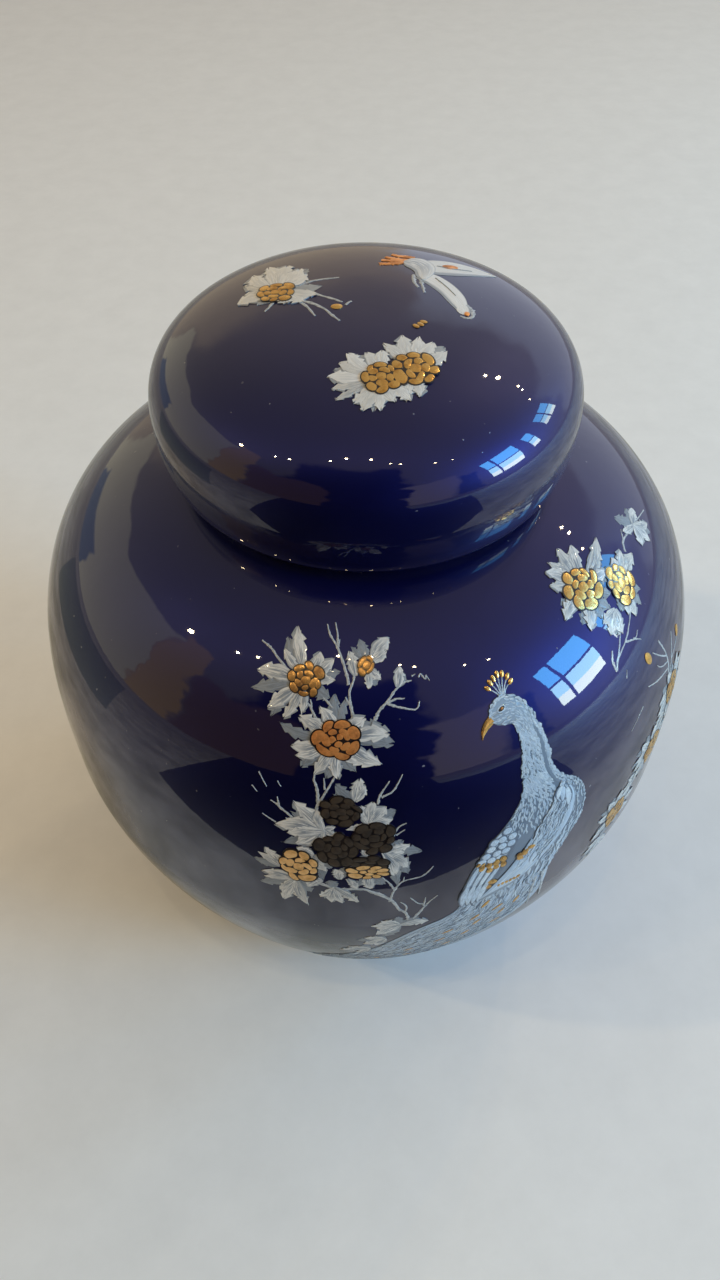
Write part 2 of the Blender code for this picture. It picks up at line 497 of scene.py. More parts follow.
def outline_enamel():
    """The near-black brown line work that the gold sits in."""
    material, tree, shader = finish("outline_enamel", coat=0.7, coat_roughness=0.05)
    tone = noise(tree, place_on(tree), 500.0, 3.0)
    colour = ramp(tree, tone, (0.35, (0.004, 0.003, 0.004)), (0.7, (0.020, 0.012, 0.009)))
    dress(tree, shader, colour, ramp(tree, tone, (0.35, 0.28), (0.7, 0.4)))
    return material


cobalt = cobalt_glaze()
pale = white_glaze()
clay = bare_clay()
PETAL = petal_enamel()
TWIG = twig_enamel()
PLUMAGE = plumage_enamel()
GOLD = gilding("gilding", (0.88, 0.54, 0.17), (0.50, 0.25, 0.06), 0.85)
AMBER = gilding("amber_gilding", (0.62, 0.33, 0.10), (0.22, 0.105, 0.035), 0.6, 0.02)
ORANGE = gilding("orange_gilding", (1.0, 0.62, 0.26), (0.66, 0.36, 0.11), 0.3, 0.14)
BRONZE = gilding("bronze_gilding", (0.105, 0.078, 0.056), (0.055, 0.042, 0.034), 0.5, 0.1)
COPPER = gilding("copper_gilding", (0.98, 0.42, 0.13), (0.50, 0.18, 0.05), 0.6, 0.12)
OUTLINE = outline_enamel()


# ---------------------------------------------------------------- the two fired pieces

def jar_piece():
    lip, fillet = neck()
    groove, ring, base = foot()
    outside = np.vstack((lip, fillet, body_curve()[::-1][1:], groove))
    jar = turned("jar_glazed_body", [(jar_inside(), pale), (outside, cobalt), (ring, clay), (base, pale)])
    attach(jar, "jar")
    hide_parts("jar_body")


def lid_piece():
    rim, under = lid_inside()
    lid = turned("lid_glazed_cap", [(lid_curve(), cobalt), (rim, clay), (under, pale)])
    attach(lid, "lid")
    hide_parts("lid")


jar_piece()
lid_piece()


# ---------------------------------------------------------------- raised ornament

# How deep a pad's underside sits below the glaze, how far the first coat stands above it, and each coat after
SINK = 0.05
PAINT_RISE = 0.03
LAYER = 0.009
PETAL_ROWS = 27
PETAL_COLUMNS = 9
TOUCH_ROWS = 5
TOUCH_COLUMNS = 3
BLADE_STEPS = 7
# The share of a petal's reach that its gold head covers
PETAL_START = 0.2


def shell_faces(rows, columns):
    """The quads of one closed pad: a top grid, an underside, and the wall round their shared edge."""
    top = np.arange(rows * columns).reshape(rows, columns)
    low = top + rows * columns

    def quads(grid):
        return np.stack((grid[:-1, :-1], grid[:-1, 1:], grid[1:, 1:], grid[1:, :-1]), axis=-1).reshape(-1, 4)

    edge = np.concatenate((top[0, :-1], top[:-1, -1], top[-1, :0:-1], top[:0:-1, 0]))
    after = np.roll(edge, -1)
    drop = rows * columns
    wall = np.column_stack((edge, edge + drop, after + drop, after))
    return np.vstack((quads(top), quads(low)[:, ::-1], wall))


class Motif:
    """One fired-on motif: closed pads of enamel and gold on a skin, gathered into one mesh."""

    def __init__(self, name, skin, seed):
        self.name = name
        self.skin = skin
        self.random = np.random.default_rng(seed)
        self.points, self.faces, self.finishes, self.paint = [], [], [], []
        self.total = 0

    def lay(self, finish, place, lift, side, along, tone=0.0):
        """Adds pads: the place and lift arrays are (pads, rows, columns). Pads that came out mirrored are
        turned over, so that every top faces away from the glaze."""
        shape = np.broadcast_shapes(place[0].shape, place[1].shape, np.shape(lift))
        pads, rows, columns = shape
        top = self.skin.point(place, np.broadcast_to(lift, shape))
        low = self.skin.point(place, np.full(shape, -SINK))
        chance = np.broadcast_to(self.random.random((pads, 1, 1)), shape)
        axes = (side / 2 + 0.5, along, chance, tone)
        paint = np.stack([np.broadcast_to(part, shape) for part in axes], axis=-1)
        middle = (slice(None), rows // 2, columns // 2)
        right = top[:, rows // 2, columns // 2] - top[:, rows // 2, columns // 2 - 1]
        ahead = top[:, rows // 2, columns // 2] - top[:, rows // 2 - 1, columns // 2]
        facing = np.einsum("ij,ij->i", np.cross(right, ahead), top[middle] - low[middle])
        mirrored = facing < 0
        for grid in (top, low):
            grid[mirrored] = grid[mirrored, :, ::-1]
        paint = paint.copy()
        paint[mirrored] = paint[mirrored, :, ::-1]

        per_pad = 2 * rows * columns
        template = shell_faces(rows, columns)
        start = self.total + np.arange(pads) * per_pad
        self.faces.append((template[None] + start[:, None, None]).reshape(-1, 4))
        self.finishes += [finish] * (pads * len(template))
        self.points.append(np.stack((top, low), axis=1).reshape(-1, 3))
        self.paint.append(np.stack((paint, paint), axis=1).reshape(-1, 4))
        self.total += pads * per_pad

    def fire(self, body):
        """Makes the mesh and lets it ride on a body."""
        used = list(dict.fromkeys(self.finishes))
        index = {finish: number for number, finish in enumerate(used)}
        material = np.array([index[finish] for finish in self.finishes])
        piece = new_piece(self.name, np.vstack(self.points), self.faces, used, material)
        attribute = piece.data.attributes.new("paint", "FLOAT_COLOR", "POINT")
        attribute.data.foreach_set("color", np.vstack(self.paint).astype(np.float32).ravel())
        piece.data.set_sharp_from_angle(angle=math.radians(50))
        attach(piece, body)
        return piece


def curve_at(knots, share):
    """Places at these shares of a Catmull-Rom curve: on each stretch, a cubic of its four nearest knots."""
    knots = np.array(knots, float)
    padded = np.vstack((2 * knots[0] - knots[1], knots, 2 * knots[-1] - knots[-2]))
    position = np.asarray(share) * (len(knots) - 1)
    stretch = np.clip(position.astype(int), 0, len(knots) - 2)
    t = (position - stretch)[..., None]
    before, start, end, after = (padded[stretch + offset] for offset in range(4))
    bend = 2 * before - 5 * start + 4 * end - after
    twist = -before + 3 * start - 3 * end + after
    return 0.5 * (2 * start + (end - before) * t + bend * t**2 + twist * t**3)


def petals(motif, centre, plan, start, layer=0):
    """Ragged petals that point away from a place.

    plan rows are (direction, reach, width, tone), direction in degrees anticlockwise from the right, each
    a little off by chance. Across a pad the offset is
    side * half width * (0.3 (1 - along) + sin(pi along ** full) ** 0.75 + 0.16 along ** 6);
    each edge is cut back by its own sawtooth, the blunt tip is notched by another, and the lift is a low
    crown. Darker tones lie under lighter ones, and a paler pad lies over its neighbour on one side.
    """
    plan = np.array(sorted(plan, key=lambda row: -row[3]), float)
    direction, reach, width, tone = (column[:, None, None] for column in plan.T)
    chance, left, right, swing = (motif.random.random((len(plan), 1, 1)) for _ in range(4))
    direction = np.radians(direction + 12 * (swing - 0.5))
    side = np.linspace(-1, 1, PETAL_COLUMNS)[None, None, :]
    along = np.linspace(0, 1, PETAL_ROWS)[None, :, None]
    full = 1.15 + 0.5 * chance
    outline = 0.3 * (1 - along) + np.sin(math.pi * along**full) ** 0.75 + 0.16 * along**6
    edge = np.where(side < 0, left, right)
    saw = (along * (2.6 + 1.8 * edge) + edge) % 1.0
    depth = (0.30 + 0.30 * edge) * np.clip((along - 0.22) * 3, 0, 1)
    outline = outline * (1 - depth * saw * np.abs(side) ** 1.5)
    teeth = (side * (1.0 + 0.5 * chance) + 7 * chance) % 1.0
    notch = (0.14 + 0.16 * swing) * teeth * np.clip((along - 0.5) * 2, 0, 1)
    bend = (chance - 0.5) * 0.6 * reach * along * (1 - along)
    forward = reach * (start + (1 - start) * along * (1 - notch)) * (0.94 + 0.12 * left)
    sideways = side * outline * width / 2 + bend
    east = forward * np.cos(direction) - sideways * np.sin(direction)
    north = forward * np.sin(direction) + sideways * np.cos(direction)
    order = np.arange(len(plan))[:, None, None]
    crown = 0.045 * (1 - side**2) * np.sin(math.pi * along * 0.9 + 0.2)
    lift = PAINT_RISE + (order + layer) * LAYER + 0.04 * (tone < 0.5) + np.clip(crown, 0, None)
    motif.lay(PETAL, motif.skin.move(centre, east, north), lift, side, along, tone)


def twig(motif, knots, width, tip_width=None, tone=0.0, finish=TWIG, layer=0, wander=0.12):
    """A tapering ribbon along a smooth path through places: width falls evenly, the section is a low arc."""
    tip_width = width * 0.45 if tip_width is None else tip_width
    count = 6 + 7 * (len(knots) - 1)
    path = curve_at(knots, np.linspace(0, 1, count)).T
    step = motif.skin.span(path[:, :-1], path[:, 1:])
    heading = np.arctan2(step[1], step[0])
    heading = np.append(heading, heading[-1])[:, None]
    along = np.linspace(0, 1, count)[:, None]
    side = np.linspace(-1, 1, 5)[None, :]
    knobs = 1 + 0.35 * np.maximum(0, motif.random.normal(size=(count, 1)))
    half = (width + (tip_width - width) * along) * 0.37 * knobs
    drift = np.cumsum(motif.random.normal(size=(count, 1)), axis=0) * wander * width * 0.35
    drift -= along * drift[-1]
    offset = side * half + drift
    place = motif.skin.move(path[:, :, None], -offset * np.sin(heading), offset * np.cos(heading))
    lift = PAINT_RISE + layer * LAYER + 0.05 * (1 - side**2) + 0 * along
    motif.lay(finish, (place[0][None], place[1][None]), lift[None], side[None], along[None], tone)


def twigs(motif, stems):
    """Several plain twigs: each is (width, knots)."""
    for width, knots in stems:
        twig(motif, knots, width)


def disc(motif, centre, across, up, finish, lift, crown=0.0, turn=0.0, tone=0.0, size=7):
    """A round or oval pad: the square grid squeezed to a disc by x sqrt(1 - y^2 / 2), y sqrt(1 - x^2 / 2)."""
    x = np.linspace(-1, 1, size)[None, None, :]
    y = np.linspace(-1, 1, size)[None, :, None]
    east = x * np.sqrt(1 - y**2 / 2) * across
    north = y * np.sqrt(1 - x**2 / 2) * up
    angle = math.radians(turn)
    turned_east = east * math.cos(angle) - north * math.sin(angle)
    turned_north = east * math.sin(angle) + north * math.cos(angle)
    place = motif.skin.move(centre, turned_east, turned_north)
    height = lift + crown * (1 - x**2) * (1 - y**2)
    motif.lay(finish, place, height, x + 0 * y, y / 2 + 0.5 + 0 * x, tone)


# Rings of a full gold head: (segments, inner share, outer share)
FULL_HEAD = ((1, 0.0, 0.24), (5, 0.25, 0.62), (8, 0.60, 1.0))


def rosette(motif, centre, across, up, rings=FULL_HEAD, finish=GOLD, base=0.22, turn=0.0):
    """A gold flower head: rings of crowned segments, packed close over a disc of dark outline.

    A segment's square grid is rounded by x sqrt(1 - k y^2), y sqrt(1 - k x^2), then laid between two radii
    and two bearings. Each segment's breadth, reach and start are its own, so the head is uneven, and each
    lies on a slightly larger pad of outline.
    """
    disc(motif, centre, across * 0.86, up * 0.86, OUTLINE, base, 0.0, turn, size=13)
    x = np.linspace(-1, 1, 7)[None, None, :]
    y = np.linspace(-1, 1, 7)[None, :, None]
    cos, sin = math.cos(math.radians(turn)), math.sin(math.radians(turn))
    for number, (count, inner, outer) in enumerate(rings):
        rounding = 0.34
        u = x * np.sqrt(1 - rounding * y**2)
        v = y * np.sqrt(1 - rounding * x**2)
        if count == 1:
            east, north = u * outer * 1.1, v * outer
        else:
            share = motif.random.uniform(0.72, 1.28, count)
            bounds = np.cumsum(share) / share.sum() * 2 * math.pi + motif.random.random() * 6
            half_angle = share[:, None, None] / share.sum() * math.pi
            angle = bounds[:, None, None] - half_angle
            gap = 0.040 / ((inner + outer) / 2)
            reach = outer * motif.random.uniform(0.86, 1.12, angle.shape)
            low = inner + motif.random.uniform(0.0, 0.07, angle.shape)
            radius = (low + reach) / 2 + v * (reach - low) / 2 + 0.05 * (1 - x**2) * (v > 0)
            skew = motif.random.normal(size=angle.shape) * 0.10
            bearing = angle - u * (half_angle - gap) + skew * v
            east, north = radius * np.cos(bearing), radius * np.sin(bearing)
        dome = ((1 - x**2) * (1 - y**2)) ** 0.6
        middle_east, middle_north = (part.mean(axis=(1, 2), keepdims=True) for part in (east, north))
        for coat, spread, rise in ((OUTLINE, 1.24, 0.0), (finish, 1.0, 0.05)):
            across_head = (middle_east + (east - middle_east) * spread) * across
            up_head = (middle_north + (north - middle_north) * spread) * up
            turned_east = across_head * cos - up_head * sin
            turned_north = across_head * sin + up_head * cos
            place = motif.skin.move(centre, turned_east, turned_north)
            lift = base + 0.01 + 0.01 * number + rise * (0.4 + dome) + 0 * east
            motif.lay(coat, place, lift, x + 0 * y, y / 2 + 0.5 + 0 * x)


def blossom(motif, centre, gold, white, slate, finish=GOLD, rings=FULL_HEAD, turn=0.0, layer=0):
    """A gold head among white petals, with slate ones behind; petals are (direction, reach, width)."""
    plan = [(*petal, 0.0) for petal in white] + [(*petal, 0.85) for petal in slate]
    petals(motif, centre, plan, start=PETAL_START, layer=layer)
    base = PAINT_RISE + (len(plan) + layer) * LAYER + 0.05
    rosette(motif, centre, *gold, rings=rings, finish=finish, base=base, turn=turn)


def sprig(motif, centre, white, slate=(), layer=0):
    """A fan of leaves without a flower head."""
    blades = [(*leaf, 0.0) for leaf in white] + [(*leaf, 0.85) for leaf in slate]
    petals(motif, centre, blades, start=0.0, layer=layer)


body_skin = BodySkin()
lid_skin = LidSkin()
# ---------------------------------------------------------------- the front spray

def front_spray():
    """Two open blossoms and a small one above, a dense cluster of five below, and bare twigs between."""
    spray = Motif("front_blossom_spray", body_skin, 11)

    # Twigs between and beyond the upper blossoms
    twigs(spray, [
        (0.62, [(-7.4, 50.6), (-8.6, 52.6), (-9.3, 53.7), (-10.6, 55.0)]),
        (0.5, [(-9.1, 53.4), (-9.2, 54.2), (-9.5, 55.0)]),
        (0.6, [(-5.4, 54.0), (-7.0, 55.4), (-8.3, 56.6)]),
        (0.62, [(-13.6, 58.6), (-16.6, 60.8), (-18.5, 62.2), (-20.7, 63.0)]),
        (0.62, [(-3.1, 57.9), (-4.0, 60.6), (-5.7, 63.8), (-7.4, 65.9), (-8.3, 67.9)]),
        (0.5, [(-5.6, 63.8), (-5.8, 66.2), (-6.6, 68.3)]),
        (0.42, [(-5.5, 64.2), (-5.3, 65.4)]),
        (0.66, [(-1.9, 52.0), (-2.5, 54.3), (-2.8, 56.6), (-2.2, 58.6), (-2.1, 60.0)]),
        (0.5, [(-2.6, 54.6), (-3.5, 55.9)]),
        (0.64, [(1.2, 51.5), (2.2, 53.5), (3.7, 55.1), (5.1, 56.9), (6.7, 58.0), (8.1, 58.3)]),
        (0.5, [(3.5, 54.8), (5.0, 55.5), (6.6, 55.5)]),
        (0.5, [(3.7, 54.8), (5.9, 54.0), (8.3, 53.6), (9.1, 54.8)]),
        (0.3, [(8.2, 59.0), (8.9, 59.3)]),
        (0.34, [(9.4, 58.7), (9.9, 59.2), (10.6, 58.3), (10.8, 58.9), (11.3, 57.9)]),
    ])

    # The upper left blossom
    blossom(
        spray, (-10.7, 58.0), (2.9, 2.8),
        [(105, 9.3, 2.7), (140, 6.5, 1.7), (70, 5.8, 2.4), (45, 6.3, 2.2), (5, 5.2, 1.8),
         (185, 9.0, 3.0), (220, 8.5, 2.7), (250, 7.4, 2.0), (272, 5.6, 1.7)],
        [(125, 8.4, 2.3), (20, 5.6, 2.0), (335, 5.0, 2.4), (200, 9.6, 2.4), (233, 8.8, 2.2)],
        finish=AMBER,
    )

    # The middle blossom, in copper
    blossom(
        spray, (-4.6, 48.7), (3.6, 3.4),
        [(120, 6.6, 2.4), (155, 7.4, 2.9), (192, 8.5, 2.6), (212, 7.6, 2.4), (238, 7.6, 2.3),
         (275, 6.8, 2.4), (318, 6.7, 2.6), (338, 9.0, 3.1), (10, 9.2, 3.4), (42, 6.2, 2.6)],
        [(97, 7.9, 2.2), (82, 6.9, 1.8), (170, 9.6, 2.2), (226, 8.2, 2.6), (256, 7.0, 2.6),
         (297, 6.8, 2.6), (353, 10.0, 2.8), (26, 8.4, 2.6)],
        finish=COPPER, rings=((3, 0.0, 0.32), (5, 0.30, 0.62), (7, 0.58, 1.0)),
    )

    # The small blossom with its side leaf, and the bud on the right twig
    blossom(
        spray, (0.1, 61.2), (1.25, 1.75),
        [(54, 6.2, 2.8), (30, 4.6, 2.2), (282, 3.9, 1.6), (318, 3.4, 1.7)],
        [(108, 4.5, 1.9), (125, 4.0, 1.2), (300, 3.8, 2.0)],
        finish=AMBER, rings=((1, 0.0, 0.42), (4, 0.46, 1.0)), turn=-25,
    )
    sprig(spray, (-1.9, 59.4), [(100, 4.3, 2.3)])
    sprig(spray, (5.5, 57.4), [(82, 3.5, 1.9)], [(62, 2.8, 1.3)])

    # Twigs of the lower cluster, and the branch that sweeps down to the right
    branch = [(-7.2, 15.0), (-4.5, 13.6), (-1.6, 13.4), (0.8, 12.2), (3.5, 9.0), (5.0, 5.1), (6.4, 2.4),
              (6.9, -0.6)]
    twig(spray, branch, 1.0, 0.7, wander=0.2)
    twigs(spray, [
        (0.62, [(3.6, 8.6), (3.9, 11.0), (4.4, 13.6), (5.6, 16.0), (8.0, 16.8), (9.2, 18.2), (10.0, 19.8)]),
        (0.4, [(5.6, 15.9), (5.7, 17.4)]),
        (0.6, [(4.3, 13.3), (3.4, 15.6), (2.4, 17.8)]),
        (0.6, [(6.1, 3.6), (6.3, 5.8), (5.3, 8.1)]),
        (0.6, [(7.3, -0.4), (9.0, 4.5), (10.0, 7.0), (11.1, 8.8)]),
        (0.45, [(9.0, 5.4), (9.2, 8.8)]),
        (0.4, [(8.9, 6.2), (8.0, 7.0), (6.8, 9.4)]),
        (0.8, [(-7.2, 32.6), (-7.3, 35.5), (-6.7, 37.5), (-5.8, 39.8), (-4.6, 42.4)]),
        (0.7, [(-7.0, 36.7), (-7.3, 39.9), (-7.7, 41.3), (-7.6, 42.6)]),
        (0.5, [(-6.1, 39.6), (-6.3, 41.8)]),
        (0.55, [(1.7, 37.0), (2.2, 39.0), (3.5, 41.5)]),
        (0.5, [(2.3, 38.4), (4.1, 39.7), (5.5, 42.6)]),
        (0.6, [(-10.8, 32.8), (-12.9, 34.8), (-14.2, 35.8)]),
        (0.45, [(-12.8, 34.7), (-13.2, 36.8)]),
        (0.42, [(-13.3, 31.0), (-15.4, 32.4)]),
        (0.3, [(-16.3, 41.0), (-14.9, 38.4)]),
        (0.24, [(-13.3, 40.0), (-12.7, 39.0)]),
        (0.3, [(-17.2, 38.0), (-16.3, 36.9)]),
        (0.5, [(3.6, 28.8), (4.7, 31.6), (5.9, 32.5)]),
        (0.42, [(4.4, 29.8), (5.7, 31.0)]),
        (0.6, [(-4.4, 29.8), (-3.2, 28.2)]),
        (0.6, [(-3.6, 29.9), (-2.4, 28.2)]),
    ])

    # Leaves of the lower cluster
    sprig(
        spray, (-6.2, 30.6),
        [(130, 7.8, 3.4), (158, 7.0, 2.8), (182, 9.2, 3.8), (214, 7.2, 3.0), (245, 4.4, 2.6),
         (108, 5.0, 2.0), (196, 6.4, 2.8)],
        [(206, 9.0, 2.8), (145, 6.8, 2.6)],
    )
    sprig(spray, (-6.3, 31.0), [(330, 3.4, 1.6), (20, 2.4, 1.2)])
    sprig(spray, (-1.6, 37.6), [(78, 4.8, 2.6), (60, 4.0, 2.0)], [(138, 4.6, 2.6), (160, 3.9, 1.0)])
    sprig(
        spray, (0.4, 32.6),
        [(112, 4.4, 2.6), (84, 5.2, 2.8), (58, 5.4, 2.8), (12, 4.4, 2.4), (200, 4.2, 1.4)],
        [(36, 5.6, 2.6)],
    )
    sprig(
        spray, (2.5, 25.6),
        [(352, 4.2, 2.8), (318, 6.4, 3.2), (284, 8.2, 2.8), (15, 5.0, 2.4)],
        [(38, 4.8, 2.4), (350, 7.2, 3.0), (286, 11.4, 2.2), (302, 8.4, 2.6)],
    )
    sprig(spray, (-7.7, 23.8), [(152, 3.6, 2.2), (300, 4.8, 2.6)],
          [(310, 5.2, 3.0), (283, 8.0, 2.0), (125, 3.0, 2.0)])
    sprig(spray, (-12.9, 18.8), [(122, 5.4, 2.6), (140, 5.4, 2.2)], [(168, 5.2, 2.4)])
    sprig(
        spray, (-10.6, 15.6),
        [(176, 7.0, 2.9), (196, 6.4, 2.4), (256, 9.4, 2.9), (276, 9.8, 3.0), (238, 6.4, 2.6)],
        [(212, 7.8, 3.0), (300, 5.2, 2.8), (264, 7.4, 2.6)],
    )
    sprig(spray, (-3.9, 17.0), [(112, 3.4, 2.2), (88, 3.4, 2.0)], [(68, 5.6, 2.4)])
    sprig(spray, (-2.8, 17.2), [(300, 3.8, 2.2)])
    sprig(spray, (-6.6, 16.2), [(220, 4.4, 2.4), (180, 3.0, 1.8)])
    sprig(
        spray, (-4.7, 13.9),
        [(228, 4.8, 2.4), (264, 6.2, 2.2), (286, 6.0, 2.1), (312, 6.6, 2.6)],
        [(108, 2.6, 2.6), (246, 5.4, 2.0)],
    )
    sprig(spray, (0.4, 18.5), [(280, 4.6, 2.6)], [(246, 4.0, 2.4), (310, 4.6, 2.4)])
    sprig(spray, (0.0, 24.6), [(100, 2.0, 1.6)], [(240, 2.6, 1.6), (330, 3.0, 1.4)])

    # Leaves where the branch ends, and down beside the train
    sprig(
        spray, (5.4, -1.6),
        [(178, 5.8, 3.2), (146, 4.2, 2.8), (8, 5.6, 3.0), (225, 6.6, 3.4), (200, 5.0, 2.6)],
        [(106, 3.6, 2.2), (245, 6.8, 2.8), (30, 4.6, 2.2)],
    )
    sprig(spray, (3.2, -9.5), [(170, 4.4, 2.6), (215, 6.4, 3.0), (250, 5.4, 2.6)],
          [(190, 6.0, 2.8), (128, 3.4, 2.4)])
    sprig(spray, (0.6, -17.5), [(165, 4.6, 2.6), (205, 6.6, 3.2), (240, 6.6, 2.8)],
          [(185, 6.0, 2.8), (120, 3.6, 2.4)])

    # The five gold heads of the cluster
    rosette(spray, (-3.6, 35.4), 3.4, 3.0, finish=BRONZE)
    rosette(spray, (1.2, 29.4), 3.7, 3.7, finish=BRONZE)
    rosette(spray, (-4.3, 26.0), 3.5, 4.2, finish=BRONZE)
    rosette(spray, (0.3, 22.4), 3.4, 2.0, rings=((2, 0.0, 0.42), (6, 0.44, 1.0)), finish=BRONZE)
    rosette(spray, (0.3, 19.8), 3.6, 2.2, rings=((3, 0.0, 0.42), (8, 0.44, 1.0)), finish=ORANGE, base=0.26)
    rosette(spray, (-10.0, 20.0), 3.6, 4.3, finish=ORANGE)
    spray.fire("jar")


def right_spray():
    """A pair of blossoms high on the right, with a bud above and a hanging stem below."""
    spray = Motif("right_blossom_spray", body_skin, 23)
    twigs(spray, [
        (0.62, [(65.2, 58.6), (67.5, 59.7), (72.8, 58.8), (80.8, 56.0)]),
        (0.45, [(67.5, 59.7), (68.6, 60.4), (69.9, 61.0)]),
        (0.6, [(46.1, 45.4), (47.3, 47.0), (51.0, 48.7), (55.8, 51.8)]),
        (0.5, [(50.6, 48.4), (53.2, 47.2), (54.6, 48.0)]),
        (0.42, [(52.6, 47.5), (54.4, 46.0)]),
        (0.55, [(46.8, 46.7), (49.0, 49.0), (51.0, 51.0)]),
    ])
    twig(spray, [(46.1, 45.4), (46.0, 47.6), (46.8, 49.2)], 0.8, 0.4)
    twig(spray, [(47.6, 42.6), (48.3, 44.0)], 0.3)

    blossom(
        spray, (49.4, 61.4), (3.9, 3.7),
        [(100, 7.8, 3.2), (76, 8.3, 3.0), (50, 8.8, 3.0), (22, 11.2, 3.0), (145, 6.6, 2.8), (122, 7.2, 3.0),
         (200, 7.8, 2.8), (240, 8.0, 3.0), (352, 7.4, 2.6)],
        [(175, 6.4, 2.6), (222, 7.2, 2.6), (338, 6.8, 2.6), (312, 6.4, 2.8), (290, 6.6, 2.8),
         (260, 6.6, 2.6), (8, 8.4, 2.8)],
    )
    blossom(
        spray, (57.8, 56.4), (3.3, 3.7),
        [(5, 8.1, 3.2), (30, 6.8, 3.0), (60, 5.2, 2.6), (258, 6.8, 2.6), (238, 6.4, 2.6)],
        [(305, 5.6, 2.4), (218, 5.8, 2.8), (285, 6.0, 2.4), (90, 4.6, 2.4)],
        layer=6,
    )
    sprig(spray, (52.4, 54.4), [(184, 4.6, 2.4), (212, 5.2, 2.8), (248, 4.8, 2.8)], [(228, 5.4, 2.6)],
          layer=4)
    sprig(spray, (73.6, 58.6), [(12, 4.8, 2.6), (148, 4.2, 2.0), (320, 5.6, 2.4), (264, 4.8, 2.8),
                                (222, 4.8, 2.8)],
          [(112, 4.4, 2.8), (40, 4.0, 2.2), (292, 5.2, 2.4)])

    # The spray that runs down the right flank behind the bird
    twigs(spray, [
        (0.8, [(60.1, 27.3), (60.7, 32.3), (60.2, 37.4), (58.8, 41.8)]),
        (0.6, [(61.0, 30.1), (62.4, 34.2), (64.0, 39.0)]),
        (0.55, [(60.2, 33.2), (56.4, 34.4), (52.6, 36.3)]),
        (0.5, [(60.2, 36.6), (58.2, 38.6), (56.0, 41.4)]),
        (0.4, [(60.6, 34.8), (57.8, 36.2), (56.4, 38.0)]),
        (0.4, [(62.0, 33.6), (65.0, 34.6), (66.4, 36.0)]),
        (0.3, [(50.5, 33.4), (46.8, 30.6)]),
    ])
    disc(spray, (54.4, 41.5), 0.9, 1.5, GOLD, 0.1, 0.12, turn=20)
    disc(spray, (66.6, 36.6), 0.8, 1.3, GOLD, 0.1, 0.12, turn=-15)
    blossom(
        spray, (62.0, 26.0), (3.4, 3.6),
        [(165, 7.0, 3.0), (195, 7.4, 3.0), (120, 6.6, 2.8), (60, 7.0, 3.0), (20, 7.6, 3.0),
         (340, 7.4, 3.0), (250, 7.8, 3.0)],
        [(145, 7.0, 2.8), (90, 6.4, 2.8), (0, 7.6, 2.8), (300, 7.4, 3.0), (222, 7.4, 2.8)],
    )
    blossom(
        spray, (55.6, 15.8), (3.4, 3.8),
        [(158, 8.2, 2.8), (182, 8.4, 3.0), (132, 8.6, 2.8), (100, 7.8, 2.8), (60, 7.2, 3.0),
         (15, 7.0, 3.0), (325, 7.4, 3.0),
         (208, 8.4, 2.8)],
        [(170, 9.0, 2.6), (145, 8.8, 2.6), (116, 8.2, 2.6), (40, 7.0, 2.8), (350, 7.4, 2.8),
         (260, 7.4, 3.0), (232, 7.8, 2.8)],
    )
    blossom(
        spray, (46.6, 4.8), (3.3, 4.0),
        [(150, 7.4, 2.8), (122, 8.4, 2.8), (92, 8.6, 3.0), (55, 7.4, 3.0), (10, 7.4, 3.0),
         (330, 7.8, 3.0), (212, 8.2, 2.8)],
        [(105, 8.8, 2.6), (136, 8.0, 2.6), (35, 7.2, 2.8), (295, 7.6, 3.0), (240, 8.6, 2.6), (190, 6.4, 2.6)],
    )
    sprig(spray, (45.0, -2.4), [(196, 6.4, 2.2), (172, 5.0, 1.8), (250, 6.8, 2.8), (290, 6.4, 2.8)],
          [(218, 7.4, 2.4), (270, 7.0, 2.6)])
    sprig(spray, (51.4, 10.8), [(168, 5.2, 2.6), (196, 5.0, 2.4), (140, 5.0, 2.4)], [(220, 5.4, 2.4)])
    sprig(spray, (59.6, 21.0), [(176, 6.2, 2.8), (204, 6.0, 2.6), (150, 5.6, 2.6)], [(190, 7.0, 2.6)])
    spray.fire("jar")


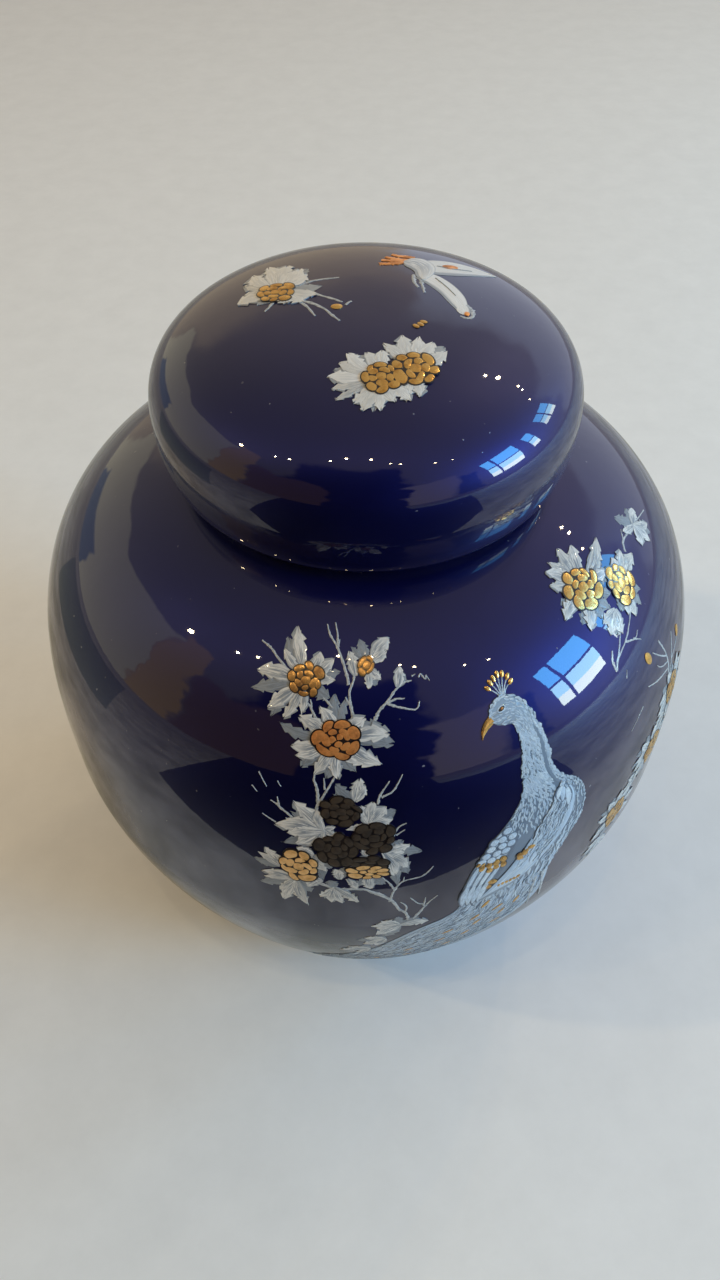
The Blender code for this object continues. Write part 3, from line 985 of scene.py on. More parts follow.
def back_spray():
    """The side away from the bird: one spray of three blossoms on a bare forked branch."""
    spray = Motif("back_blossom_spray", body_skin, 31)
    twig(spray, [(168.0, 12.0), (172.0, 22.0), (176.0, 30.0), (179.0, 40.0), (184.0, 48.0),
                 (188.0, 56.0)], 1.0, 0.5, wander=0.2)
    twigs(spray, [
        (0.7, [(176.0, 30.0), (184.0, 34.0), (190.0, 36.0), (195.0, 41.0)]),
        (0.7, [(172.0, 22.0), (166.0, 29.0), (161.0, 35.0), (159.0, 41.0)]),
        (0.6, [(184.0, 48.0), (181.0, 55.0), (181.5, 61.0)]),
        (0.5, [(161.0, 35.0), (156.0, 37.0), (153.0, 40.0)]),
        (0.5, [(190.0, 36.0), (195.0, 34.0), (198.0, 36.0)]),
    ])
    ring = [(15, 7.6, 3.2), (62, 7.0, 3.0), (108, 8.0, 3.0), (150, 7.6, 3.2), (196, 8.2, 3.0),
            (240, 7.2, 3.0), (285, 7.6, 3.0), (328, 7.0, 3.0)]
    between = [(direction + 23, reach * 1.05, width * 0.9) for direction, reach, width in ring]
    for place, finish in (((180.0, 42.0), GOLD), ((172.5, 27.5), COPPER), ((190.0, 58.5), GOLD)):
        blossom(spray, place, (3.4, 3.5), ring, between, finish=finish)
        ring = [((direction + 71) % 360, reach, width) for direction, reach, width in ring]
    sprig(spray, (163.0, 32.0), [(100, 5.6, 2.8), (150, 6.4, 2.8), (196, 5.2, 2.6)], [(125, 6.4, 2.6)])
    sprig(spray, (192.0, 37.0), [(20, 5.8, 2.8), (330, 6.2, 2.8), (60, 5.4, 2.6)], [(350, 6.6, 2.6)])
    sprig(spray, (169.5, 15.0), [(320, 6.2, 3.0), (20, 6.0, 3.0), (190, 6.6, 3.0), (235, 7.0, 3.0)],
          [(345, 6.8, 2.8), (212, 7.2, 2.8)])
    spray.fire("jar")
# ---------------------------------------------------------------- the bird

def between(first, second, along, side):
    """Places on a sheet: a share `side` of the way from the first edge's curve to the second's, both at
    the share `along` of their length."""
    start, end = curve_at(first, along), curve_at(second, along)
    side = np.asarray(side)[..., None]
    place = start * (1 - side) + end * side
    return place[..., 0], place[..., 1]


def patch(motif, first, second, finish, lift, rows, columns, tone=0.0, crown=0.03):
    """A pad that fills the sheet between two edges, with a low crown across it."""
    along = np.linspace(0, 1, rows)[None, :, None] * np.ones((1, 1, columns))
    side = np.linspace(0, 1, columns)[None, None, :] * np.ones((1, rows, 1))
    place = between(first, second, along, side)
    motif.lay(finish, place, lift + crown * (1 - (2 * side - 1) ** 2), 2 * side - 1, along, tone)


def strokes(motif, places, bearing, length, width, lift, tone):
    """Many small brush touches: each a leaf outline sin(pi (0.12 + 0.8 along)), bent a little to one side.

    places are arrays with one entry a touch, bearing is in radians anticlockwise from the right.
    """
    count = len(places[0])
    side = np.linspace(-1, 1, TOUCH_COLUMNS)[None, None, :]
    along = np.linspace(0, 1, TOUCH_ROWS)[None, :, None]
    bearing, length, width, tone = (
        np.broadcast_to(part, count)[:, None, None] for part in (bearing, length, width, tone)
    )
    bend = motif.random.normal(size=(count, 1, 1)) * 0.12 * length * along * (1 - along) * 4
    forward = length * (along - 0.5)
    sideways = side * width / 2 * np.sin(math.pi * (0.12 + 0.8 * along)) + bend
    east = forward * np.cos(bearing) - sideways * np.sin(bearing)
    north = forward * np.sin(bearing) + sideways * np.cos(bearing)
    centre = tuple(part[:, None, None] for part in places)
    height = lift + 0.02 * (1 - side**2) + motif.random.random((count, 1, 1)) * 0.012 + 0 * along
    motif.lay(PLUMAGE, motif.skin.move(centre, east, north), height, side, along, tone)


def heading(motif, first, second, along, side):
    """Which way a sheet runs at these shares, in radians."""
    here = between(first, second, along, side)
    ahead = between(first, second, along + 0.01, side)
    east, north = motif.skin.span(here, ahead)
    return np.arctan2(north, east)


def plume(motif, first, second, side, start, end, width, lift, tone, rows):
    """A long feather that follows a sheet at a share of its breadth, full in the middle, round at its tip."""
    along = start + (end - start) * np.linspace(0, 1, rows)
    share = side[0] + (side[1] - side[0]) * np.linspace(0, 1, rows)
    path = np.stack(between(first, second, along, share))
    step = motif.skin.span(path[:, :-1], path[:, 1:])
    way = np.arctan2(step[1], step[0])
    way = np.append(way, way[-1])[:, None]
    t = np.linspace(0, 1, rows)[:, None]
    across = np.linspace(-1, 1, BLADE_STEPS)[None, :]
    swell = 0.35 + 0.65 * np.sin(math.pi * np.clip(t * 0.8 + 0.12, 0, 1))
    half = width / 2 * swell * np.sqrt(1 - (t * 0.985) ** 8)
    offset = across * half
    place = motif.skin.move(path[:, :, None], -offset * np.sin(way), offset * np.cos(way))
    height = lift + 0.045 * (1 - across**2) + 0 * t
    motif.lay(PLUMAGE, (place[0][None], place[1][None]), height[None], across[None], t[None], tone)


def scales(motif, first, second, rows, across, shares, spread, length, width, lift, tone, turn=0.0):
    """Rows of touches over a stretch of a sheet, each row set off by half a step and jittered."""
    start, end = shares
    along, side = np.meshgrid(np.linspace(start, end, rows), np.linspace(*spread, across), indexing="ij")
    side = side + (np.arange(rows) % 2)[:, None] * 0.5 * (spread[1] - spread[0]) / across
    side = np.clip(side + motif.random.normal(size=side.shape) * 0.014, *sorted(spread)).ravel()
    along = np.clip(along + motif.random.normal(size=along.shape) * 0.35 * (end - start) / rows, 0, 1).ravel()
    way = heading(motif, first, second, along, side) + turn
    way = way + motif.random.normal(size=way.shape) * 0.16
    size = motif.random.uniform(0.75, 1.15, along.shape)
    shade = tone + (motif.random.random(along.shape) < 0.18) * 0.35
    strokes(motif, between(first, second, along, side), way, length * size, width * size, lift, shade)


FRONT_EDGE = [(24.1, 47.4), (24.6, 45.0), (24.7, 42.4), (24.2, 39.2), (24.1, 35.8), (23.8, 32.4),
              (22.0, 28.0), (19.6, 23.8),
              (17.5, 18.4), (15.8, 12.0), (14.8, 4.4)]
BACK_EDGE = [(27.7, 46.6), (28.2, 44.8), (28.8, 42.4), (29.1, 39.4), (29.6, 36.4), (31.2, 33.3),
             (34.3, 29.9), (35.8, 25.0),
             (35.6, 18.4), (33.4, 12.6), (30.8, 5.2)]
WING_FRONT = [(30.9, 30.9), (29.7, 29.4), (28.8, 26.5), (27.0, 23.2), (25.6, 19.0), (24.0, 14.6),
              (22.1, 10.2), (20.0, 6.6),
              (17.8, 2.9)]
WING_BACK = [(31.0, 31.0), (32.4, 29.6), (33.4, 25.8), (33.3, 21.8), (32.2, 17.6), (30.4, 13.8),
             (28.2, 9.6), (24.6, 5.4),
             (18.0, 2.0)]
TRAIN_TOP = [(16.0, 9.0), (15.0, 1.2), (12.6, -2.2), (10.0, -4.2), (7.4, -6.8), (4.4, -11.8),
             (1.0, -18.6), (-4.6, -27.2),
             (-12.0, -36.0)]
TRAIN_LOW = [(31.0, 7.0), (30.4, -2.0), (28.6, -9.6), (25.6, -16.0), (22.0, -21.6), (17.4, -28.4),
             (11.0, -36.4),
             (3.0, -44.0), (-8.0, -50.0)]


def train(bird):
    """The long train: plumes swept down to the left over a dark ground, with small gilded eyes."""
    patch(bird, TRAIN_TOP, TRAIN_LOW, PLUMAGE, 0.03, tone=0.62, rows=50, columns=13)
    for number, share in enumerate(np.linspace(0.03, 0.97, 15)):
        drift = share + bird.random.normal() * 0.03
        start = bird.random.uniform(0.0, 0.10)
        plume(bird, TRAIN_TOP, TRAIN_LOW, (share, drift), start, bird.random.uniform(0.86, 0.99), 2.4,
              0.07 + 0.012 * (number % 3), tone=bird.random.uniform(0.05, 0.3), rows=40)
    scales(bird, TRAIN_TOP, TRAIN_LOW, 48, 10, (0.05, 0.97), (0.03, 0.95), 3.2, 0.62, 0.15, 0.0)
    scales(bird, TRAIN_TOP, TRAIN_LOW, 30, 7, (0.08, 0.97), (0.08, 0.92), 3.0, 0.60, 0.16, 0.85, turn=0.2)
    scales(bird, TRAIN_TOP, TRAIN_LOW, 24, 7, (0.04, 0.90), (0.06, 0.94), 3.4, 0.40, 0.175, -0.3, turn=-0.05)
    along = np.array([0.13, 0.19, 0.17, 0.26, 0.25, 0.33, 0.36, 0.44, 0.47, 0.55, 0.60, 0.68, 0.74, 0.83])
    side = np.array([0.30, 0.52, 0.72, 0.36, 0.66, 0.50, 0.80, 0.34, 0.64, 0.48, 0.74, 0.40, 0.66, 0.52])
    azimuth, arc = between(TRAIN_TOP, TRAIN_LOW, along, side)
    way = np.degrees(heading(bird, TRAIN_TOP, TRAIN_LOW, along, side))
    for place in zip(azimuth, arc, way):
        slant = place[2] + bird.random.normal() * 14
        disc(bird, place[:2], 2.1, 0.84, PLUMAGE, 0.19, 0.03, turn=slant, tone=0.05)
        disc(bird, place[:2], 1.6, 0.54, OUTLINE, 0.22, 0.02, turn=slant, size=5)
        disc(bird, place[:2], 1.35, 0.40, GOLD, 0.25, 0.03, turn=slant, size=5)


def gold_flecks(motif, centre, turn, cells, size, lift):
    """A short patch of gilt cells packed along a line: rounded lozenges a little apart, on dark outline."""
    east, north = np.cos(np.radians(turn)), np.sin(np.radians(turn))
    for number in range(cells):
        run = (number - (cells - 1) / 2) * size * 1.16
        lean = motif.random.normal() * size * 0.14
        place = motif.skin.move(centre, run * east - lean * north, run * north + lean * east)
        angle = turn + 90 + motif.random.normal() * 16
        disc(motif, place, size * 0.96, size * 0.68, OUTLINE, lift - 0.04, turn=angle, size=5)
        disc(motif, place, size * 0.80, size * 0.52, GOLD, lift, 0.05, turn=angle)


def body_feathers(bird):
    """Neck and breast in rows of scale-like touches over slate, darker down the back."""
    patch(bird, FRONT_EDGE, BACK_EDGE, PLUMAGE, 0.10, tone=0.86, rows=50, columns=11, crown=0.05)
    scales(bird, FRONT_EDGE, BACK_EDGE, 42, 8, (0.0, 0.50), (0.05, 0.72), 1.25, 0.46, 0.165, 0.14, turn=0.25)
    scales(bird, FRONT_EDGE, BACK_EDGE, 26, 10, (0.42, 0.74), (0.05, 0.66), 1.35, 0.50, 0.165, 0.10, turn=0.3)
    scales(bird, FRONT_EDGE, BACK_EDGE, 34, 3, (0.0, 0.44), (0.78, 0.90), 0.8, 0.34, 0.16, 0.3)
    scales(bird, FRONT_EDGE, BACK_EDGE, 46, 4, (0.44, 0.98), (0.86, 0.99), 0.9, 0.40, 0.16, 0.12)
    plume(bird, FRONT_EDGE, BACK_EDGE, (0.82, 0.80), 0.0, 0.56, 1.5, 0.15, tone=0.8, rows=40)
    scales(bird, FRONT_EDGE, BACK_EDGE, 40, 1, (0.0, 0.45), (0.955, 0.99), 1.5, 0.62, 0.175, 0.0)
    scales(bird, FRONT_EDGE, BACK_EDGE, 30, 1, (0.0, 0.60), (0.02, 0.04), 1.2, 0.45, 0.165, 0.0, turn=-0.5)
    scales(bird, FRONT_EDGE, BACK_EDGE, 10, 6, (0.80, 1.0), (0.55, 0.96), 3.2, 0.75, 0.165, 0.0)


def shoulder_lobes(bird):
    """The tucked shoulder on the front edge: rounded lobes like small shells, then gilt, then long covers."""
    edge = [(21.2, 26.2), (19.2, 23.4), (17.9, 20.2), (17.0, 17.4), (16.1, 14.4), (15.3, 10.2),
            (14.8, 6.2), (14.8, 2.6)]
    inner = [(21.8, 26.2), (22.9, 23.6), (22.6, 20.0), (21.8, 16.6), (21.0, 13.2), (19.8, 9.8),
             (19.0, 6.4), (18.4, 2.8)]
    patch(bird, edge, inner, PLUMAGE, 0.17, tone=0.10, rows=36, columns=9, crown=0.05)
    patch(bird, [(22.6, 24.0), (22.4, 20.0), (21.6, 16.4), (20.6, 12.6), (19.4, 9.2)],
          [(23.4, 24.2), (23.3, 20.2), (22.5, 16.6), (21.6, 12.6), (20.0, 8.8)], PLUMAGE, 0.19, tone=0.9,
          rows=20, columns=5)
    lobes = [(21.4, 24.9), (22.3, 22.9), (20.6, 22.9), (19.4, 22.6), (22.2, 20.9), (20.7, 20.9),
             (18.9, 20.8), (19.9, 19.0),
             (18.2, 19.0), (21.4, 19.0), (17.6, 17.4), (19.1, 17.3)]
    for number, place in enumerate(lobes):
        disc(bird, place, 1.30, 1.04, PLUMAGE, 0.225 + 0.012 * (number % 3), 0.04, turn=60, tone=0.95)
        middle = bird.skin.move(place, 0.1, 0.12)
        tilt = 60 + 25 * (number % 3)
        disc(bird, middle, 1.04, 0.80, PLUMAGE, 0.25 + 0.012 * (number % 3), 0.07, turn=tilt, tone=-0.2)
    gold_flecks(bird, (19.5, 16.0), 12, 4, 1.25, 0.27)
    gold_flecks(bird, (20.2, 14.5), 12, 3, 1.2, 0.27)
    gold_flecks(bird, (17.5, 17.0), -25, 2, 0.75, 0.30)
    gold_flecks(bird, (19.4, 8.3), 60, 2, 1.5, 0.27)
    gold_flecks(bird, (25.1, 16.2), 38, 3, 1.2, 0.36)
    gold_flecks(bird, (24.6, 15.0), 38, 2, 1.1, 0.36)
    for number, share in enumerate(np.linspace(0.14, 0.86, 4)):
        for start, end, width, lift in ((0.50, 0.82, 1.15, 0.24), (0.74, 1.02, 1.5, 0.29)):
            plume(bird, edge, inner, (share, share), start, end, width * 1.3, lift - 0.02, rows=14, tone=0.95)
            plume(bird, edge, inner, (share, share), start, end - 0.01, width, lift, rows=14, tone=-0.2)


def wing(bird):
    """The folded wing: mottled coverts above, then long pale flight feathers with gilt at their roots."""
    patch(bird, WING_FRONT, WING_BACK, PLUMAGE, 0.18, tone=0.75, rows=40, columns=11, crown=0.06)
    for number, share in enumerate(np.linspace(0.93, 0.06, 12)):
        start = 0.10 + 0.42 * (1 - share) ** 1.2
        end = 1.0 - 0.16 * share
        plume(bird, WING_FRONT, WING_BACK, (share, share * 0.86 + 0.03), start, end, 1.9,
              0.23 + 0.007 * number,
              tone=-0.3 + 0.5 * (number % 2), rows=26)
    scales(bird, WING_FRONT, WING_BACK, 15, 6, (0.05, 0.60), (0.08, 0.74), 2.7, 0.62, 0.33, 0.0, turn=0.08)
    scales(bird, WING_FRONT, WING_BACK, 14, 5, (0.12, 0.62), (0.10, 0.70), 2.1, 0.36, 0.345, 0.85, turn=-0.1)
    scales(bird, WING_FRONT, WING_BACK, 12, 5, (0.16, 0.70), (0.06, 0.80), 2.8, 0.42, 0.36, -0.5, turn=0.05)
    for share, end in ((0.74, 0.30), (0.46, 0.24), (0.20, 0.20)):
        plume(bird, WING_FRONT, WING_BACK, (share, share), end - 0.18, end, 1.9, 0.355, tone=0.95, rows=14)
        plume(bird, WING_FRONT, WING_BACK, (share, share), end - 0.18, end - 0.01, 1.35, 0.38, tone=-0.4,
              rows=14)
    gold_flecks(bird, (22.9, 7.0), 8, 6, 0.72, 0.33)


def head(bird):
    """A small round head, a lid-lined eye, a hooked gilt beak and a fan crest with gilt tips."""
    brow = [(20.4, 50.0), (20.9, 51.3), (22.2, 52.3), (24.0, 52.6), (25.8, 51.5), (27.1, 49.6),
            (27.8, 47.9), (28.0, 46.0)]
    throat = [(20.4, 49.6), (20.4, 48.9), (21.2, 48.0), (22.4, 47.6), (23.6, 47.4), (24.2, 46.9),
              (24.4, 46.4), (24.6, 45.6)]
    patch(bird, throat, brow, PLUMAGE, 0.13, tone=0.55, rows=24, columns=11, crown=0.10)
    scales(bird, throat, brow, 11, 6, (0.10, 0.96), (0.04, 0.52), 0.85, 0.34, 0.215, 0.0, turn=0.2)
    scales(bird, throat, brow, 11, 3, (0.42, 1.0), (0.50, 0.74), 1.0, 0.30, 0.215, 0.05)
    scales(bird, throat, brow, 15, 3, (0.03, 1.0), (0.86, 0.99), 1.1, 0.46, 0.205, 0.0)
    disc(bird, (22.5, 50.5), 1.0, 0.52, PLUMAGE, 0.24, 0.05, turn=25, tone=0.0)
    disc(bird, (22.5, 50.5), 0.66, 0.34, OUTLINE, 0.28, 0.04, turn=25)
    disc(bird, (22.6, 50.55), 0.26, 0.18, COPPER, 0.33, 0.04, turn=25)
    twig(bird, [(20.7, 49.6), (21.6, 49.9), (22.6, 49.7)], 0.26, 0.16, tone=0.9, layer=24)
    patch(bird, [(20.9, 48.6), (19.7, 47.8), (18.9, 47.0), (18.45, 46.2)],
          [(20.2, 49.9), (19.2, 49.0), (18.5, 47.8), (18.35, 46.2)], GOLD, 0.16, rows=12, columns=5,
          crown=0.14)
    tips = [(21.1, 54.4), (21.8, 55.2), (22.6, 55.7), (23.5, 56.2), (24.4, 56.0), (25.2, 55.3), (25.5, 54.3)]
    for place in tips:
        root = (23.3 + (place[0] - 23.3) * 0.12, 52.4)
        bow = (root[0] + (place[0] - root[0]) * 0.42, root[1] + (place[1] - root[1]) * 0.55)
        twig(bird, [root, bow, place], 0.34, 0.20, tone=0.0, finish=PLUMAGE)
        tilt = math.degrees(math.atan2(place[1] - bow[1], (place[0] - bow[0]) * 0.9))
        disc(bird, place, 0.62, 0.36, GOLD, 0.10, 0.14, turn=tilt, size=5)


def legs(bird):
    """Two thin shanks under the belly."""
    for knots in ([(28.6, 3.0), (28.3, -4.5), (29.2, -12.0)], [(29.8, 4.0), (30.4, -3.0), (31.0, -9.0)]):
        twig(bird, knots, 0.7, 0.4, layer=18)


def peacock():
    bird = Motif("peacock", body_skin, 47)
    train(bird)
    legs(bird)
    body_feathers(bird)
    wing(bird)
    shoulder_lobes(bird)
    head(bird)
    bird.fire("jar")


# ---------------------------------------------------------------- motifs on the lid

def lid_blossoms():
    """A single blossom at the back left, a pair in front of the crown, and a loose gilt fleck."""
    spray = Motif("lid_blossoms", lid_skin, 59)
    petals(
        spray, (-15.7, 5.4),
        [(205, 7.6, 4.2, -0.7), (120, 9.6, 4.6, -0.7), (103, 11.6, 4.8, -0.7), (84, 10.8, 4.8, -0.7),
         (66, 10.0, 4.6, -0.7),
         (46, 8.8, 4.4, -0.7), (350, 7.6, 4.2, -0.7), (326, 6.2, 3.4, -0.7), (296, 4.6, 3.0, -0.7),
         (180, 6.0, 3.4, -0.4),
         (148, 8.0, 4.0, -0.4), (8, 8.6, 3.6, 0.7), (232, 5.0, 2.8, 0.7), (93, 12.0, 4.0, 0.75),
         (56, 10.6, 4.0, 0.75)],
        start=PETAL_START,
    )
    for direction, reach in ((255, 6.3), (310, 11.1), (318, 15.2), (340, 12.4), (22, 11.8)):
        angle = math.radians(direction)
        tip = (-15.7 + reach * math.cos(angle), 5.4 + reach * math.sin(angle))
        bow = (-15.7 + reach * 0.6 * math.cos(angle + 0.12), 5.4 + reach * 0.6 * math.sin(angle + 0.12))
        root = (-15.7 + 3.0 * math.cos(angle), 5.4 + 3.0 * math.sin(angle))
        twig(spray, [root, bow, tip], 0.9, 0.4)
    rosette(spray, (-15.7, 5.2), 3.4, 3.2, base=0.28)
    disc(spray, (-5.0, -0.4), 1.0, 0.8, GOLD, 0.1, 0.12)
    twig(spray, [(-3.5, 0.2), (-2.5, 1.4)], 0.6, 0.4)

    petals(
        spray, (2.3, -19.8),
        [(180, 9.0, 3.6, -0.7), (158, 8.0, 3.2, -0.7), (136, 7.6, 3.2, -0.7), (114, 6.8, 3.0, -0.7),
         (90, 6.8, 3.0, -0.7),
         (232, 7.0, 2.8, -0.7), (252, 7.4, 2.8, -0.7), (272, 6.8, 2.8, -0.7), (294, 6.2, 2.8, -0.7),
         (316, 6.6, 2.8, -0.7),
         (203, 8.6, 2.2, -0.4), (168, 8.4, 3.0, 0.7), (125, 7.4, 3.0, 0.7), (262, 7.2, 2.8, 0.7),
         (218, 9.2, 1.6, 0.3)],
        start=PETAL_START,
    )
    petals(
        spray, (7.5, -17.6),
        [(124, 8.2, 3.2, -0.7), (104, 9.0, 3.2, -0.7), (84, 8.8, 3.0, -0.7), (62, 8.0, 3.2, -0.7),
         (40, 7.6, 3.2, -0.7),
         (255, 7.8, 2.8, -0.7), (274, 6.2, 2.6, -0.7), (236, 8.0, 2.8, -0.7), (94, 8.8, 3.0, 0.7),
         (52, 7.8, 3.0, 0.7)],
        start=PETAL_START, layer=4,
    )
    rosette(spray, (2.4, -19.6), 3.0, 3.2, base=0.28)
    rosette(spray, (7.9, -17.6), 3.5, 4.0, base=0.31)
    gold_flecks(spray, (9.0, -5.6), 50, 3, 0.8, 0.12)
    spray.fire("lid")


def lid_butterfly():
    """A butterfly seen from above, wings swept back to the right, with orange-gold feelers and spots."""
    butterfly = Motif("lid_butterfly", lid_skin, 61)
    patch(butterfly, [(8.4, 16.0), (11.6, 18.2), (15.6, 18.8), (19.8, 18.0), (24.0, 16.2)],
          [(8.8, 12.6), (12.4, 11.8), (16.4, 12.2), (20.4, 13.6), (24.2, 15.6)], PETAL, 0.06, tone=-1.0,
          rows=26, columns=11)
    patch(butterfly, [(10.4, 12.8), (13.2, 11.0), (15.6, 7.8), (17.2, 4.0), (17.6, 0.4)],
          [(8.8, 9.8), (10.6, 8.0), (12.7, 5.0), (14.2, 1.8), (15.6, -0.8)], PETAL, 0.06, tone=-1.0,
          rows=26, columns=11)
    disc(butterfly, (16.7, -0.3), 1.3, 1.5, PETAL, 0.07, 0.04, tone=-1.0)
    twig(butterfly, [(17.2, 1.4), (18.2, -0.2), (18.3, -1.9), (17.2, -2.9), (16.0, -2.3)], 1.0, 0.5)
    patch(butterfly, [(7.0, 17.0), (8.6, 18.6), (10.6, 18.4), (12.0, 16.8), (12.6, 14.2), (12.0, 11.6),
                      (10.6, 9.4)],
          [(6.8, 16.0), (7.0, 14.8), (7.8, 13.8), (8.6, 12.6), (8.8, 11.4), (9.0, 10.4), (9.8, 9.2)],
          PETAL, 0.12, tone=-0.3, rows=22, columns=9, crown=0.08)
    for knots in ([(7.8, 17.4), (5.4, 17.8), (3.6, 18.6)], [(7.2, 16.4), (4.6, 15.6), (2.4, 15.2)],
                  [(7.8, 17.0), (5.2, 16.8), (2.8, 16.9)], [(9.0, 18.8), (6.8, 19.2), (4.8, 20.0)]):
        twig(butterfly, knots, 1.5, 1.1, finish=COPPER, layer=8)
    for knots in ([(9.4, 10.6), (9.8, 7.6), (10.2, 4.6)], [(8.6, 11.2), (8.6, 8.4), (9.2, 6.4)]):
        twig(butterfly, knots, 0.8, 0.45)
    for knots in ([(13.0, 15.6), (15.6, 15.0), (19.4, 15.4)], [(12.4, 10.2), (14.0, 7.6), (15.6, 4.2)],
                  [(9.4, 15.8), (10.4, 14.4), (10.6, 12.2)]):
        twig(butterfly, knots, 0.34, 0.2, tone=0.7, layer=12)
    disc(butterfly, (15.4, 15.8), 1.5, 0.9, COPPER, 0.14, 0.08, turn=8)
    disc(butterfly, (17.2, -1.5), 0.45, 0.6, COPPER, 0.14, 0.05)
    butterfly.fire("lid")


front_spray()
right_spray()
back_spray()
peacock()
lid_blossoms()
lid_butterfly()


# ---------------------------------------------------------------- studio

FLOOR_SIZE = 6.0
PAPER_ROUGHNESS = 0.9
CAMERA_ELEVATION = 49.4
CAMERA_DISTANCE = 0.2319
CAMERA_LENS = 27.0
SENSOR_WIDTH = 36.0
CAMERA_SHIFT = (-0.0047, 0.0067)
WINDOW_DISTANCE = 1.5
BULB_DISTANCE = 1.3
BULB_COLOUR = (1.0, 0.78, 0.45)
BACKDROP = (0.62, 0.61, 0.59)


def floor_paper():
    """Pale matt paper with a trace of fibre."""
    material, tree, shader = finish("floor_paper", specular=0.2)
    fibre = noise(tree, place_on(tree), 60.0, 6.0, 0.7)
    colour = ramp(tree, fibre, (0.3, (0.83, 0.825, 0.815)), (0.7, (0.88, 0.875, 0.865)))
    tree.links.new(colour, shader.inputs["Base Color"])
    shader.inputs["Roughness"].default_value = PAPER_ROUGHNESS
    return material


def floor():
    bpy.ops.mesh.primitive_plane_add(size=FLOOR_SIZE, location=(0.0, 0.0, 0.0))
    ground = bpy.context.object
    ground.name = "studio_floor"
    ground.data.materials.append(floor_paper())


def gloss_card(name, corners, height, dark, light, grain, low, high):
    """A flat mottled card that only the gloss sees. Corners run anticlockwise from above."""
    mesh = bpy.data.meshes.new(name)
    mesh.from_pydata([(*corner, height) for corner in corners], [], [tuple(range(len(corners)))])
    material, tree, shader = finish(name + "_face", specular=0.1)
    mottle = noise(tree, place_on(tree), grain, 5.0, 0.65)
    tree.links.new(ramp(tree, mottle, (low, dark), (high, light)), shader.inputs["Base Color"])
    shader.inputs["Roughness"].default_value = PAPER_ROUGHNESS
    mesh.materials.append(material)
    card = bpy.data.objects.new(name, mesh)
    bpy.context.scene.collection.objects.link(card)
    card.visible_camera = False
    card.visible_diffuse = False
    card.visible_shadow = False
    card.visible_transmission = False


def gloss_cards():
    """What the gloss mirrors below the horizon: a mottled table, a black flag in front that widens away
    from the jar, and a dark slate panel on the left."""
    table = [(-1.4, -1.4), (1.4, -1.4), (1.4, 1.4), (-1.4, 1.4)]
    gloss_card("table_card", table, 0.0006, (0.48, 0.475, 0.42), (0.80, 0.795, 0.78), 16.0, 0.40, 0.60)
    front = [(-0.20, -0.125), (-2.4, -2.9), (0.95, -2.9), (0.36, -0.95), (0.75, -0.65), (0.20, -0.125)]
    gloss_card("front_flag", front, 0.001, (0.006, 0.005, 0.007), (0.014, 0.012, 0.014), 300.0, 0.3, 0.7)
    left = [(-0.30, 0.16), (-1.30, 0.70), (-1.30, -0.30), (-0.30, -0.06)]
    gloss_card("left_panel", left, 0.001, (0.20, 0.26, 0.26), (0.30, 0.35, 0.31), 9.0, 0.3, 0.7)


def lamp(name, azimuth, elevation, distance, size, colour, radiance, offset=(0.0, 0.0), shape="RECTANGLE"):
    """A flat light that faces the belly. Its power is pi times its radiance times its area."""
    turn, tilt = math.radians(azimuth), math.radians(elevation)
    away = Vector((math.sin(turn) * math.cos(tilt), -math.cos(turn) * math.cos(tilt), math.sin(tilt)))
    right = Vector((math.cos(turn), math.sin(turn), 0.0))
    up = right.cross(-away)
    light = bpy.data.lights.new(name, "AREA")
    light.shape = shape
    light.size, light.size_y = size
    light.color = colour
    area = size[0] * size[1] * (math.pi / 4 if shape == "ELLIPSE" else 1.0)
    light.energy = math.pi * radiance * area
    holder = bpy.data.objects.new(name, light)
    belly = Vector((0.0, 0.0, BELLY_HEIGHT * MM))
    holder.location = away * distance + right * offset[0] + up * offset[1] + belly
    holder.rotation_mode = "QUATERNION"
    holder.rotation_quaternion = away.to_track_quat("Z", "Y")
    bpy.context.scene.collection.objects.link(holder)


def window(name, azimuth, elevation, size, columns, rows, radiance):
    """A softbox with dark glazing bars: columns are (share from, share to), rows are (from, to, colour)."""
    for column, (left, right) in enumerate(columns):
        for row, (low, high, colour) in enumerate(rows):
            pane = ((right - left) * size[0], (high - low) * size[1])
            offset = (((left + right) / 2 - 0.5) * size[0], ((low + high) / 2 - 0.5) * size[1])
            lamp(f"{name}_{column}_{row}", azimuth, elevation, WINDOW_DISTANCE, pane, colour, radiance,
                 offset)


def bulbs(name, start, end, watts):
    """A row of small warm lamps overhead, from one (azimuth, elevation) to the other."""
    for number, power in enumerate(watts):
        share = (number + 0.3 * math.sin(2.4 * number)) / (len(watts) - 1)
        azimuth, elevation = (first + (last - first) * share for first, last in zip(start, end))
        width = 0.012 + 0.02 * power
        radiance = power / (math.pi * math.pi / 4 * width**2)
        lamp(
            f"{name}_{number}", azimuth, elevation, BULB_DISTANCE, (width, width), BULB_COLOUR, radiance,
            shape="ELLIPSE",
        )


def camera():
    """Looks down at the belly from the front; the shift sets the jar in the frame."""
    elevation = math.radians(CAMERA_ELEVATION)
    data = bpy.data.cameras.new("camera")
    data.lens = CAMERA_LENS
    data.sensor_width = SENSOR_WIDTH
    data.shift_x, data.shift_y = CAMERA_SHIFT
    data.clip_start = 0.01
    eye = bpy.data.objects.new("camera", data)
    belly = BELLY_HEIGHT * MM
    out, up = CAMERA_DISTANCE * math.cos(elevation), CAMERA_DISTANCE * math.sin(elevation)
    eye.location = (0.0, -out, belly + up)
    eye.rotation_euler = (math.pi / 2 - elevation, 0.0, 0.0)
    bpy.context.scene.collection.objects.link(eye)
    bpy.context.scene.camera = eye


